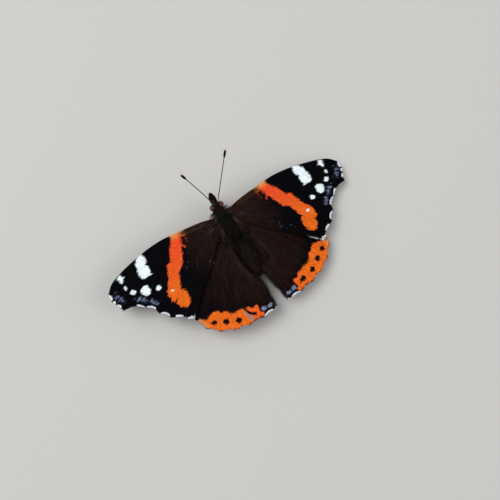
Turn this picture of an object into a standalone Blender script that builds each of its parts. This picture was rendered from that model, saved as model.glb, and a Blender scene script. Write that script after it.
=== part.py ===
"""Red admiral butterfly (Vanessa atalanta) at life size, basking with its wings spread flat.

The head points along +Y, the butterfly's right side is +X and the floor is z = 0. All sizes
below are in millimetres, and add_object turns them to metres. The insect's own frame has the
middle of the thorax at zero. THORAX_PLACE says where that point stands above the floor, with
the middle of the whole insect's box over the origin.
"""

import math

import bpy
from mathutils import Matrix, Vector
from mathutils.geometry import delaunay_2d_cdt

METRES = 0.001
THORAX_PLACE = Vector((0.24, 4.0, 5.2))
GAP = 0.3

# Thorax, which swells between its ends by SQUARENESS
THORAX_HALF_WIDTH = 3.0
THORAX_HALF_HEIGHT = 2.7
THORAX_HALF_LENGTH = 4.1
THORAX_SQUARENESS = 3.0
THORAX_END_ANGLE = math.radians(78)
THORAX_END = THORAX_HALF_LENGTH * math.sin(THORAX_END_ANGLE)
THORAX_STATIONS = 17
THORAX_SIDES = 28

# Abdomen, whose shares are of its greatest width and height
ABDOMEN_FRONT = -THORAX_END - GAP
ABDOMEN_TIP = -13.6
ABDOMEN_HALF_WIDTH = 1.95
ABDOMEN_HALF_HEIGHT = 1.85
ABDOMEN_WAIST_SHARE = 0.85
ABDOMEN_TIP_SHARE = 0.16
ABDOMEN_WIDEST = 0.36
ABDOMEN_TAPER = (2.3, 0.62)
ABDOMEN_HEIGHT = -0.25
ABDOMEN_DROOP = 0.4
ABDOMEN_SEGMENTS = 7
RINGS_IN_SEGMENT = 4
SEGMENT_GROOVE = 0.12
ABDOMEN_SIDES = 20

# Head and what it carries, in its own frame with the neck at zero
NECK = Vector((0.1, THORAX_END, 0.25))
NECK_GAP = 0.4
HEAD_YAW = math.radians(-5)
HEAD_HALF_WIDTH = 0.9
HEAD_HALF_LENGTH = 0.95
HEAD_HALF_HEIGHT = 1.15
HEAD_REAR_ANGLE = math.radians(66)
HEAD_FRONT_ANGLE = math.radians(73)
HEAD_MIDDLE = NECK_GAP + HEAD_HALF_LENGTH * math.sin(HEAD_REAR_ANGLE)
HEAD_ROUNDNESS = 0.8
HEAD_STATIONS = 11
HEAD_SIDES = 20
EYE_HALF_HEIGHT = 0.95
EYE_HALF_LENGTH = 0.84
EYE_BULGE = 0.6
EYE_ROUNDNESS = 0.9
EYE_FORWARD = 0.05
EYE_HEIGHT = 0.1
EYE_RINGS = 6
EYE_SIDES = 20
PALP_START = Vector((0.5, HEAD_MIDDLE + HEAD_HALF_LENGTH + GAP + 0.02, -0.35))
PALP_REACH = Vector((-0.1, 2.15, 0.75))
PALP_SAG = Vector((0.02, 0, -0.12))
PALP_RADIUS = 0.36
PALP_STEP = 0.45
PALP_SIDES = 12
ANTENNA_START = Vector((0.5, HEAD_MIDDLE + 0.55, HEAD_HALF_HEIGHT + GAP - 0.1))
ANTENNA_SPLAY = {"left": math.radians(29), "right": math.radians(37)}
ANTENNA_REACH = {"left": 8.9, "right": 10.9}
ANTENNA_RISE = {"left": 9.2, "right": 7.0}
ANTENNA_BEND = (0.48, 0.55)
ANTENNA_SHAFT = 0.5
ANTENNA_CLUB = 0.62
ANTENNA_CLUB_SHARE = 0.16
ANTENNA_STEP = 0.75
ANTENNA_SIDES = 8
TONGUE_PLACE = Vector((0, HEAD_MIDDLE + 0.7, -2.0))
TONGUE_RADIUS = 0.62
TONGUE_HALF_WIDTH = 0.26
TONGUE_EDGE = 0.8
TONGUE_SIDES = 20

# Wings
WING_THICKNESS = 0.5
ROOT_THICKENING = 0.2
ROOT_FADE = 1.5
WING_ARCH = 0.45
WING_SPAN = 30.0
VEIN_HEIGHT = 0.12
VEIN_HALF_WIDTH = 0.32
VEIN_STEP = 1.5
COSTA_STEP = 1.7
MARGIN_STEP = 1.1
INNER_STEP = 1.1
MEMBRANE_STEP = 2.2
ROW_STEP = MEMBRANE_STEP * 0.87
WELD = 0.4
BORDER_CLEARANCE = 0.35
CREST_CLEARANCE = 0.3
BESIDE_CLEARANCE = 0.25
FILL_CLEARANCE = 0.55 * MEMBRANE_STEP
BODY_CLEARANCE = GAP + 0.15
FOREWING_HINGE = Vector((2.5, 1.6, 1.0))
HINDWING_HINGE = Vector((2.4, -1.6, -0.1))

# Each wing's turns about its hinge in degrees: back to front, tip up and leading edge up
WING_POSES = {
    "forewing_left": (2.5, -0.9, -1.9),
    "forewing_right": (-2.5, -8.0, 0.6),
    "hindwing_left": (-1.3, -0.9, -1.9),
    "hindwing_right": (1.3, -8.0, 0.6),
}

# Vein courses on a flat wing, outward and forward from its hinge
FOREWING_VEINS = {
    "subcosta": ((1.2, 1.2), (8.0, 2.45), (16.4, 3.2)),
    "radius": ((1.2, 0.5), (7.0, 1.4), (13.4, 0.9), (18.6, 0.05), (22.5, -0.35)),
    "radial_1": ((9.6, 1.35), (14.5, 2.2), (19.0, 2.78)),
    "radial_2": ((12.4, 1.05), (17.8, 1.7), (22.3, 2.15)),
    "radial_3": ((18.6, 0.05), (22.0, 0.85), (25.4, 1.3)),
    "radial_4": ((22.5, -0.35), (26.2, -0.4), (29.3, -1.3)),
    "radial_5": ((22.5, -0.35), (26.4, -1.4), (29.35, -3.2)),
    "medial_1": ((13.8, -0.8), (19.5, -2.1), (24.5, -2.9), (28.8, -4.15)),
    "medial_2": ((14.0, -1.9), (21.5, -3.5), (28.05, -6.25)),
    "medial_3": ((14.2, -3.0), (18.7, -4.7), (21.5, -6.2), (23.4, -8.1)),
    "cell_end": ((13.4, 0.9), (13.8, -0.8), (14.0, -1.9), (14.2, -3.0)),
    "cubitus": ((1.2, -0.3), (8.6, -2.6), (12.0, -3.4), (14.2, -3.0)),
    "cubital_1": ((12.0, -3.4), (16.2, -6.2), (21.35, -11.1)),
    "cubital_2": ((8.6, -2.6), (14.25, -8.1), (19.55, -13.2)),
    "anal": ((1.2, -1.0), (8.5, -7.3), (16.7, -14.65)),
}
FOREWING_COSTA = ((3.0, 2.42), (8.0, 3.0), (12.6, 3.4), (16.4, 3.2), (19.0, 2.78), (22.3, 2.15),
                  (25.4, 1.3), (27.6, 0.35), (29.3, -1.3))
FOREWING_TORNUS = ((15.85, -15.25), (15.1, -15.7), (14.2, -15.0))
FOREWING_REAR = ((14.2, -15.0), (7.0, -7.9))
FOREWING_ROOT = (1.3, 0.4, -0.5, -1.5)
FOREWING_MARGIN = ("radial_4", "radial_5", "medial_1", "medial_2", "medial_3", "cubital_1",
                   "cubital_2", "anal")
FOREWING_HOLLOWS = (0.06, 0.08, 0.06, 0.13, 0.16, 0.16, 0.06)
HINDWING_VEINS = {
    "subcosta": ((1.4, 0.5), (8.0, -1.7), (15.6, -7.8)),
    "radial": ((1.4, -0.2), (6.5, -3.7), (16.4, -11.7)),
    "medial_1": ((6.5, -3.7), (11.0, -8.9), (15.3, -15.2)),
    "medial_2": ((6.2, -4.9), (9.8, -11.0), (12.9, -17.65)),
    "medial_3": ((5.6, -6.8), (7.9, -12.6), (9.75, -19.3)),
    "cell_end": ((6.5, -3.7), (6.2, -4.9), (5.6, -6.8)),
    "cubitus": ((1.4, -1.0), (3.9, -5.4), (5.6, -6.8)),
    "cubital_1": ((5.6, -6.8), (6.5, -13.2), (6.65, -20.15)),
    "cubital_2": ((3.9, -5.4), (4.1, -12.8), (2.9, -20.5)),
    "anal_2": ((1.2, -2.0), (1.5, -10.0), (0.0, -20.35)),
}
HINDWING_COSTA = ((0.95, 0.9), (4.5, 0.8), (9.5, -0.9), (13.2, -3.9), (15.6, -7.8))
HINDWING_TORNUS = ((-0.95, -19.6), (-0.85, -18.0), (-1.45, -15.9))
HINDWING_MARGIN = ("subcosta", "radial", "medial_1", "medial_2", "medial_3", "cubital_1",
                   "cubital_2", "anal_2")
HINDWING_HOLLOWS = (0.03, 0.05, 0.04, 0.05, 0.05, 0.05, 0.07)
INNER_MARGIN_REAR = -13.9
INNER_MARGIN_POINTS = 12
INNER_MARGIN_LEAST = 0.75

# Legs, for the butterfly's right side, as places of their joints and the tip of the foot
LEG_PATHS = {
    "leg_fore": ((0.8, 1.7, -2.95), (0.9, 2.0, -3.4), (0.95, 3.4, -3.35), (0.85, 4.8, -2.7)),
    "leg_mid": ((1.0, -0.4, -2.98), (1.3, -0.3, -3.5), (5.6, 1.6, -1.7), (7.6, 2.8, -4.6),
                (8.2, 3.1, -5.09), (9.9, 3.9, -5.09)),
    "leg_hind": ((0.95, -2.1, -2.8), (1.3, -2.4, -3.35), (4.6, -4.6, -2.2), (6.2, -8.2, -4.6),
                 (6.5, -8.9, -5.09), (7.4, -10.7, -5.09)),
}
LEG_RADII = {
    "leg_fore": (0.3, 0.32, 0.3, 0.25),
    "leg_mid": (0.42, 0.42, 0.36, 0.3, 0.32, 0.3),
    "leg_hind": (0.42, 0.42, 0.36, 0.3, 0.32, 0.3),
}
LEG_STEP = 1.3
LEG_SIDES = 8

COLOURS = {
    "body": "2A2620",
    "eye": "6B4026",
    "antenna": "1A1614",
    "wing": "1E1310",
    "leg": "3A2C22",
}
ROUGHNESS = {"body": 0.9, "eye": 0.35, "antenna": 0.6, "wing": 0.8, "leg": 0.6}


def linear(channel):
    """A linear light value from an sRGB one between 0 and 1."""
    return channel / 12.92 if channel <= 0.04045 else ((channel + 0.055) / 1.055) ** 2.4


def clear_scene():
    for old in list(bpy.data.objects):
        bpy.data.objects.remove(old)


def make_materials():
    made = {}
    for name, colour in COLOURS.items():
        channels = [linear(int(colour[i : i + 2], 16) / 255) for i in (0, 2, 4)]
        material = bpy.data.materials.new(name)
        material.use_nodes = True
        shader = material.node_tree.nodes["Principled BSDF"]
        shader.inputs["Base Color"].default_value = (*channels, 1.0)
        shader.inputs["Roughness"].default_value = ROUGHNESS[name]
        shader.inputs["Metallic"].default_value = 0.0
        made[name] = material
    return made


def add_object(name, points, faces, material):
    """One closed body from points in the insect's frame, in millimetres."""
    mesh = bpy.data.meshes.new(name)
    mesh.from_pydata([(point + THORAX_PLACE) * METRES for point in points], [], faces)
    mesh.shade_smooth()
    mesh.materials.append(material)
    made = bpy.data.objects.new(name, mesh)
    bpy.context.scene.collection.objects.link(made)
    return made


def smooth_curve(points, step):
    """Points about one step apart on a smooth curve through the given ones."""
    given = [Vector(point) for point in points]
    ends = [2 * given[0] - given[1], *given, 2 * given[-1] - given[-2]]
    found = [given[0]]
    for before, start, end, after in zip(ends, ends[1:], ends[2:], ends[3:]):
        count = max(1, round((end - start).length / step))
        for index in range(1, count + 1):
            t = index / count
            found.append(
                0.5 * (2 * start + (end - before) * t
                       + (2 * before - 5 * start + 4 * end - after) * t ** 2
                       + (3 * start - before - 3 * end + after) * t ** 3)
            )
    return found


def ring_faces(rings, sides):
    """Faces of a closed body whose points come ring by ring, with a flat cap at each end."""
    faces = []
    for ring in range(rings - 1):
        for side in range(sides):
            a = ring * sides + side
            b = ring * sides + (side + 1) % sides
            faces.append((a, b, b + sides, a + sides))
    faces.append(tuple(reversed(range(sides))))
    faces.append(tuple(range((rings - 1) * sides, rings * sides)))
    return faces


def rounded(angle, power):
    """A point of a unit circle, or of a squarer one for a power under 1."""
    x, z = math.cos(angle), math.sin(angle)
    return math.copysign(abs(x) ** power, x), math.copysign(abs(z) ** power, z)


def barrel(stations, sides, power=1.0):
    """Points and faces of a body along Y. A station is y, half width, half height and z."""
    points = []
    for y, half_width, half_height, height in stations:
        for side in range(sides):
            x, z = rounded(-2 * math.pi * side / sides, power)
            points.append(Vector((x * half_width, y, height + z * half_height)))
    return points, ring_faces(len(stations), sides)


def tube(path, radii, sides):
    """Points and faces of a round tube along a path, with one radius for each point."""
    points = []
    across = (path[-1] - path[0]).cross(Vector((0, 0, 1))).normalized()
    for index, place in enumerate(path):
        along = (path[min(index + 1, len(path) - 1)] - path[max(index - 1, 0)]).normalized()
        upward = across.cross(along).normalized()
        for side in range(sides):
            x, z = rounded(-2 * math.pi * (side + 0.5) / sides, 1.0)
            points.append(place + (across * x + upward * z) * radii[index])
    return points, ring_faces(len(path), sides)


def flipped(points, faces):
    """The mirror image for the butterfly's left side."""
    return ([Vector((-point.x, point.y, point.z)) for point in points],
            [tuple(reversed(face)) for face in faces])


def for_side(side, points, faces):
    return (points, faces) if side == "right" else flipped(points, faces)


def thorax_half_width(y, z=0.0):
    """Half of the thorax's width at a place along it and a height."""
    along = min(1.0, abs(y / THORAX_HALF_LENGTH))
    level = min(1.0, abs(z / THORAX_HALF_HEIGHT))
    return THORAX_HALF_WIDTH * math.sqrt(max(0.0, 1 - along ** THORAX_SQUARENESS - level ** 2))


def abdomen_swell(t):
    """The abdomen's width from its waist, t = 0, to its tip, t = 1, as a share of the most."""
    if t < ABDOMEN_WIDEST:
        growth = math.sin(math.pi / 2 * t / ABDOMEN_WIDEST)
        return ABDOMEN_WAIST_SHARE + (1 - ABDOMEN_WAIST_SHARE) * growth
    taper = ((t - ABDOMEN_WIDEST) / (1.02 - ABDOMEN_WIDEST)) ** ABDOMEN_TAPER[0]
    return max(max(0.0, 1 - taper) ** ABDOMEN_TAPER[1], ABDOMEN_TIP_SHARE)


def body_half_width(y):
    """Half of the width of the thorax or abdomen, whichever reaches further out there."""
    t = (ABDOMEN_FRONT - min(y, ABDOMEN_FRONT)) / (ABDOMEN_FRONT - ABDOMEN_TIP)
    abdomen = ABDOMEN_HALF_WIDTH * abdomen_swell(t) if t <= 1 else 0.0
    return max(thorax_half_width(y), abdomen)


def make_thorax(material):
    stations = []
    for index in range(THORAX_STATIONS):
        angle = THORAX_END_ANGLE * (2 * index / (THORAX_STATIONS - 1) - 1)
        y = THORAX_HALF_LENGTH * math.sin(angle)
        half_width = thorax_half_width(y)
        half_height = THORAX_HALF_HEIGHT * half_width / THORAX_HALF_WIDTH
        stations.append((y, half_width, half_height, 0.0))
    add_object("thorax", *barrel(stations, THORAX_SIDES), material)


def make_abdomen(material):
    """Seven rings with shallow grooves between them, and a rounded tip."""
    steps = ABDOMEN_SEGMENTS * RINGS_IN_SEGMENT
    stations = []
    for index in range(steps + 1):
        t = index / steps
        y = ABDOMEN_FRONT + (ABDOMEN_TIP - ABDOMEN_FRONT) * t
        between = index % RINGS_IN_SEGMENT == 0 and 0 < index < steps
        groove = SEGMENT_GROOVE if between else 0.0
        share = abdomen_swell(t)
        height = ABDOMEN_HEIGHT - ABDOMEN_DROOP * t ** 1.5
        stations.append((y, ABDOMEN_HALF_WIDTH * share - groove,
                         ABDOMEN_HALF_HEIGHT * share - groove, height))
    stations.reverse()
    add_object("abdomen", *barrel(stations, ABDOMEN_SIDES), material)


def head_place(x, y, z):
    """A place in the head's own frame, from the neck, turned with the head."""
    return NECK + Matrix.Rotation(HEAD_YAW, 3, "Z") @ Vector((x, y, z))


def head_points(points):
    return [head_place(*point) for point in points]


def make_head(material):
    stations = []
    for index in range(HEAD_STATIONS):
        t = index / (HEAD_STATIONS - 1)
        angle = -HEAD_REAR_ANGLE + (HEAD_REAR_ANGLE + HEAD_FRONT_ANGLE) * t
        share = math.cos(angle) ** HEAD_ROUNDNESS
        y = HEAD_MIDDLE + HEAD_HALF_LENGTH * math.sin(angle)
        stations.append((y, HEAD_HALF_WIDTH * share, HEAD_HALF_HEIGHT * share, 0.0))
    points, faces = barrel(stations, HEAD_SIDES, HEAD_ROUNDNESS)
    add_object("head", head_points(points), faces, material)


def make_eye(side, material):
    """A domed oval with its flat back to the head."""
    points = []
    for ring in range(EYE_RINGS):
        angle = math.pi / 2 * ring / EYE_RINGS
        x = HEAD_HALF_WIDTH + GAP + EYE_BULGE * math.sin(angle)
        share = math.cos(angle) ** EYE_ROUNDNESS
        for index in range(EYE_SIDES):
            y, z = rounded(2 * math.pi * index / EYE_SIDES, 1.0)
            points.append(Vector((x, HEAD_MIDDLE + EYE_FORWARD + EYE_HALF_LENGTH * share * y,
                                  EYE_HEIGHT + EYE_HALF_HEIGHT * share * z)))
    points, faces = for_side(side, points, ring_faces(EYE_RINGS, EYE_SIDES))
    add_object(f"eye_{side}", head_points(points), faces, material)


def make_palp(side, material):
    """A blunt hairy feeler below the face, bent forward and up."""
    end = PALP_START + PALP_REACH
    middle = (PALP_START + end) / 2 + PALP_SAG
    path = smooth_curve((PALP_START, middle, end), PALP_STEP)
    radii = []
    for index in range(len(path)):
        t = index / (len(path) - 1)
        swell = 0.82 + 0.18 * math.sin(math.pi * t)
        radii.append(PALP_RADIUS * swell * (1 - 0.62 * t ** 3))
    points, faces = tube(path, radii, PALP_SIDES)
    points = [Vector((max(point.x, GAP / 2), point.y, point.z)) for point in points]
    points, faces = for_side(side, points, faces)
    add_object(f"palp_{side}", head_points(points), faces, material)


def make_antenna(side, material):
    """A long thin shaft that rises forward and outward to a club."""
    splay = ANTENNA_SPLAY[side]
    out = Vector((math.sin(splay), math.cos(splay), 0)) * ANTENNA_REACH[side]
    rise = Vector((0, 0, ANTENNA_RISE[side]))
    middle = ANTENNA_START + out * ANTENNA_BEND[0] + rise * ANTENNA_BEND[1]
    path = smooth_curve((ANTENNA_START, middle, ANTENNA_START + out + rise), ANTENNA_STEP)
    radii = []
    for index in range(len(path)):
        t = index / (len(path) - 1)
        club = min(1.0, max(0.0, 2 * (t - 1 + ANTENNA_CLUB_SHARE) / ANTENNA_CLUB_SHARE))
        radii.append((ANTENNA_SHAFT + (ANTENNA_CLUB - ANTENNA_SHAFT) * club) / 2)
    radii[-1] *= 0.6
    points, faces = for_side(side, *tube(path, radii, ANTENNA_SIDES))
    add_object(f"antenna_{side}", head_points(points), faces, material)


def make_proboscis(material):
    """The tongue, rolled into a small disc under the face."""
    sections = ((-1.0, TONGUE_EDGE), (-0.6, 1.0), (0.6, 1.0), (1.0, TONGUE_EDGE))
    points = []
    for across, share in sections:
        for index in range(TONGUE_SIDES):
            y, z = rounded(2 * math.pi * index / TONGUE_SIDES, 1.0)
            points.append(TONGUE_PLACE + Vector((across * TONGUE_HALF_WIDTH,
                                                 y * share * TONGUE_RADIUS,
                                                 z * share * TONGUE_RADIUS)))
    add_object("proboscis", head_points(points), ring_faces(len(sections), TONGUE_SIDES), material)


def make_leg(name, side, material):
    """A jointed leg. A foot's underside is cut flat at the floor."""
    joints = LEG_PATHS[name]
    path = []
    radii = []
    for index in range(len(joints) - 1):
        start, end = Vector(joints[index]), Vector(joints[index + 1])
        count = max(1, round((end - start).length / LEG_STEP))
        for step in range(count):
            t = step / count
            path.append(start.lerp(end, t))
            radii.append(LEG_RADII[name][index] * (1 - t) + LEG_RADII[name][index + 1] * t)
    path.append(Vector(joints[-1]))
    radii.append(LEG_RADII[name][-1])
    points, faces = tube(path, radii, LEG_SIDES)
    floor = -THORAX_PLACE.z
    points = [Vector((point.x, point.y, max(point.z, floor))) for point in points]
    points, faces = for_side(side, points, faces)
    add_object(f"{name}_{side}", points, faces, material)


def wing_place(name, hinge, point, height):
    """A place on a wing: outward and forward on the flat wing, and a height off its middle."""
    sweep, raise_tip, raise_front = (math.radians(angle) for angle in WING_POSES[name])
    reach = min(max(point.x / WING_SPAN, 0.0), 1.0)
    arch = 4 * WING_ARCH * reach * (1 - reach)
    flat = Matrix.Rotation(sweep, 3, "Z") @ Vector((point.x, point.y, 0))
    lifted = Vector((flat.x, flat.y, arch + height))
    turned = Matrix.Rotation(-raise_tip, 3, "Y") @ lifted
    turned = Matrix.Rotation(raise_front, 3, "X") @ turned
    return hinge + turned


def scalloped(tips, depths):
    """The outer margin from vein end to vein end, hollow between them."""
    found = []
    for start, end, depth in zip(tips, tips[1:], depths):
        start, end = Vector(start), Vector(end)
        chord = end - start
        inward = Vector((chord.y, -chord.x)).normalized()
        count = max(2, round(chord.length / MARGIN_STEP))
        for index in range(count):
            t = index / count
            found.append(start + chord * t + inward * depth * chord.length * math.sin(math.pi * t))
    found.append(Vector(tips[-1]))
    return found


def root_x(name, hinge, y):
    """How far out a wing's root lies on the flat wing, for a place along it, off the thorax."""
    sweep = math.radians(WING_POSES[name][0])
    across = thorax_half_width(hinge.y + y, hinge.z - WING_THICKNESS / 2) + BODY_CLEARANCE - hinge.x
    return (across + y * math.sin(sweep)) / math.cos(sweep)


def forewing_outline(name):
    """The forewing's edge from the front of its root round the tip to the rear of its root."""
    root = [Vector((root_x(name, FOREWING_HINGE, y), y)) for y in FOREWING_ROOT]
    costa = smooth_curve((root[0], *FOREWING_COSTA), COSTA_STEP)
    tips = [FOREWING_VEINS[vein][-1] for vein in FOREWING_MARGIN]
    margin = scalloped(tips, FOREWING_HOLLOWS)
    tornus = [Vector(place) for place in FOREWING_TORNUS]
    rear = smooth_curve((*FOREWING_REAR, root[-1]), COSTA_STEP)
    return costa + margin[1:] + tornus + rear[1:] + root[2:0:-1]


def hindwing_outline(name):
    """The hindwing's edge, with an inner margin that keeps clear of the thorax and abdomen."""
    sweep = math.radians(WING_POSES[name][0])
    costa = smooth_curve(HINDWING_COSTA, COSTA_STEP)
    tips = [HINDWING_VEINS[vein][-1] for vein in HINDWING_MARGIN]
    margin = scalloped(tips, HINDWING_HOLLOWS)
    inner = [Vector(place) for place in HINDWING_TORNUS]
    for index in range(INNER_MARGIN_POINTS):
        y = INNER_MARGIN_REAR + index * INNER_STEP
        body = max(body_half_width(y + shift) for shift in (-GAP, 0, GAP))
        across = max(body + BODY_CLEARANCE, INNER_MARGIN_LEAST) - HINDWING_HINGE.x
        along = y - HINDWING_HINGE.y
        inner.append(Vector((across * math.cos(sweep) + along * math.sin(sweep),
                             along * math.cos(sweep) - across * math.sin(sweep))))
    return costa + margin[1:] + inner


def nearest(points, place):
    return min(((other - place).length for other in points), default=math.inf)


def inside(outline, place):
    """Whether a place lies inside a closed outline."""
    crossings = 0
    for start, end in zip(outline, outline[1:] + outline[:1]):
        if (start.y > place.y) != (end.y > place.y):
            x = start.x + (place.y - start.y) * (end.x - start.x) / (end.y - start.y)
            crossings += x > place.x
    return crossings % 2 == 1


def membrane(outline, veins):
    """One wing's flat triangles and the height of each point's vein ridge."""
    points = list(outline)
    ridge = [False] * len(points)
    edges = [(index, (index + 1) % len(points)) for index in range(len(points))]
    border = list(outline)

    def index_of(place):
        for index, other in enumerate(points):
            if (other - place).length < WELD:
                return index
        points.append(place)
        ridge.append(True)
        return len(points) - 1

    beside = []
    for course in veins.values():
        line = smooth_curve(course, VEIN_STEP)
        places = [index_of(place) for place in line]
        for index in places:
            ridge[index] = True
        edges += [(a, b) for a, b in zip(places, places[1:]) if a != b]
        for start, end in zip(line, line[1:]):
            along = (end - start).normalized()
            across = Vector((-along.y, along.x)) * VEIN_HALF_WIDTH
            middle = (start + end) / 2
            beside += [middle + across, middle - across]
    crest = [place for place, raised in zip(points, ridge) if raised]
    for place in beside:
        clear = inside(outline, place) and nearest(border, place) > BORDER_CLEARANCE
        clear = clear and nearest(crest, place) > CREST_CLEARANCE
        if clear and nearest(points[len(border):], place) > BESIDE_CLEARANCE:
            points.append(place)
            ridge.append(False)
    low = Vector((min(p.x for p in outline), min(p.y for p in outline)))
    high = Vector((max(p.x for p in outline), max(p.y for p in outline)))
    rows = round((high.y - low.y) / ROW_STEP)
    columns = round((high.x - low.x) / MEMBRANE_STEP)
    for row in range(rows + 1):
        for column in range(columns + 1):
            place = low + Vector(((column + 0.5 * (row % 2)) * MEMBRANE_STEP, row * ROW_STEP))
            if inside(outline, place) and nearest(points, place) > FILL_CLEARANCE:
                points.append(place)
                ridge.append(False)
    flat, _, faces, came_from, _, _ = delaunay_2d_cdt(points, edges, [], 1, 1e-4)
    raised = [not sources or any(ridge[source] for source in sources) for sources in came_from]
    return flat, faces, raised


def make_wing(kind, side, hinge, outline, veins, material):
    """A wing of even thickness, alike on both faces, with its veins raised on both."""
    name = f"{kind}_{side}"
    flat, triangles, raised = membrane(outline(name), veins)
    upper = []
    lower = []
    for point, vein in zip(flat, raised):
        half = (WING_THICKNESS + ROOT_THICKENING * math.exp(-max(point.x, 0) / ROOT_FADE)) / 2
        half += VEIN_HEIGHT if vein else 0.0
        upper.append(wing_place(name, hinge, point, half))
        lower.append(wing_place(name, hinge, point, -half))
    count = len(flat)
    faces = []
    used = {}
    for a, b, c in triangles:
        turn = (flat[b] - flat[a]).cross(flat[c] - flat[a])
        if turn < 0:
            b, c = c, b
        faces.append((a, b, c))
        faces.append((a + count, c + count, b + count))
        for edge in ((a, b), (b, c), (c, a)):
            used[edge] = True
    for a, b in used:
        if (b, a) not in used:
            faces.append((b, a, a + count))
            faces.append((b, a + count, b + count))
    add_object(name, *for_side(side, upper + lower, faces), material)


def main():
    clear_scene()
    materials = make_materials()
    make_thorax(materials["body"])
    make_abdomen(materials["body"])
    make_head(materials["body"])
    make_proboscis(materials["antenna"])
    for side in ("left", "right"):
        make_eye(side, materials["eye"])
        make_palp(side, materials["body"])
        make_antenna(side, materials["antenna"])
        make_wing("forewing", side, FOREWING_HINGE, forewing_outline, FOREWING_VEINS,
                  materials["wing"])
        make_wing("hindwing", side, HINDWING_HINGE, hindwing_outline, HINDWING_VEINS,
                  materials["wing"])
        for name in LEG_PATHS:
            make_leg(name, side, materials["leg"])


main()
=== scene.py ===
import math

import bpy
import numpy as np
from mathutils import Matrix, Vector
from mathutils.geometry import delaunay_2d_cdt


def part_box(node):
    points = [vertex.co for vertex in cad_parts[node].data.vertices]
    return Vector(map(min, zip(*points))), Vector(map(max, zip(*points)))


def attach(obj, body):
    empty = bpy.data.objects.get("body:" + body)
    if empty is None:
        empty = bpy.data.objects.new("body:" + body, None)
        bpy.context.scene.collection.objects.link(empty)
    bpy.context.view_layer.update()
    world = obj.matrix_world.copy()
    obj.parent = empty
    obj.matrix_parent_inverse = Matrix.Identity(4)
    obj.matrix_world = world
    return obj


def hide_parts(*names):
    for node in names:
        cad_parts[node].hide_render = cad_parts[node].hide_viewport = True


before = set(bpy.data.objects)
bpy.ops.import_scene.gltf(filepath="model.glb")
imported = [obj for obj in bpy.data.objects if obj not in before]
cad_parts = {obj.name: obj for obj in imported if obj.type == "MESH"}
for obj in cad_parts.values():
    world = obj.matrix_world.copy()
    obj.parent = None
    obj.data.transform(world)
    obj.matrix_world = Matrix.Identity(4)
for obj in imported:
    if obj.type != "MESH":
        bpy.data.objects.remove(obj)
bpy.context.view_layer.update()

# Looks of a life-size red admiral (Vanessa atalanta). Sizes are in millimetres in the insect's
# own frame, which has the middle of the thorax at zero, +Y to the head and +X to its right.
MM = 0.001
THORAX_PLACE = np.array((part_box("thorax")[0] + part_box("thorax")[1]) / 2) / MM
SEED = 11

# Body, inside the solids by the depth of the coat
THORAX_HALF_WIDTH = 3.0
THORAX_HALF_HEIGHT = 2.7
THORAX_HALF_LENGTH = 4.1
THORAX_SQUARENESS = 3.0
THORAX_END = THORAX_HALF_LENGTH * math.sin(math.radians(78))
THORAX_COAT = 0.5
ABDOMEN_FRONT = -THORAX_END - 0.3
ABDOMEN_TIP = -13.6
ABDOMEN_HALF_WIDTH = 1.95
ABDOMEN_HALF_HEIGHT = 1.85
ABDOMEN_COAT = 0.12
ABDOMEN_SEGMENTS = 7
NECK = np.array((0.1, THORAX_END, 0.25))
HEAD_YAW = math.radians(-5)
HEAD_MIDDLE = 0.4 + 0.95 * math.sin(math.radians(66))
EYE_MIDDLE = np.array((0.92, HEAD_MIDDLE + 0.05, 0.1))
EYE_HALF = np.array((0.87, 0.82, 0.93))
ANTENNA_SPLAY = {"left": math.radians(29), "right": math.radians(37)}
ANTENNA_REACH = {"left": 8.9, "right": 10.9}
ANTENNA_RISE = {"left": 9.2, "right": 7.0}

# Wings, in the same pose as the solids
WING_SPAN = 30.0
WING_ARCH = 0.45
WINGS = {
    "forewing": {"hinge": (2.5, 1.6, 1.0), "left": (2.5, -0.9, -1.9), "right": (-2.5, -8.0, 0.6)},
    "hindwing": {"hinge": (2.4, -1.6, -0.1), "left": (-1.3, -0.9, -1.9), "right": (1.3, -8.0, 0.6)},
}
RAY_CENTRES = {"forewing": np.array((-4.0, 0.0)), "hindwing": np.array((-0.5, 4.0))}
MEMBRANE_HALF = 0.07
VEIN_RISE = 0.075
VEIN_HALF_WIDTH = 0.13
PLEAT_DEPTH = 0.05
FOLD_HEIGHT = 0.2
MESH_STEP = 0.22
FRINGE = {"forewing": 0.42, "hindwing": 0.3}

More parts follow.
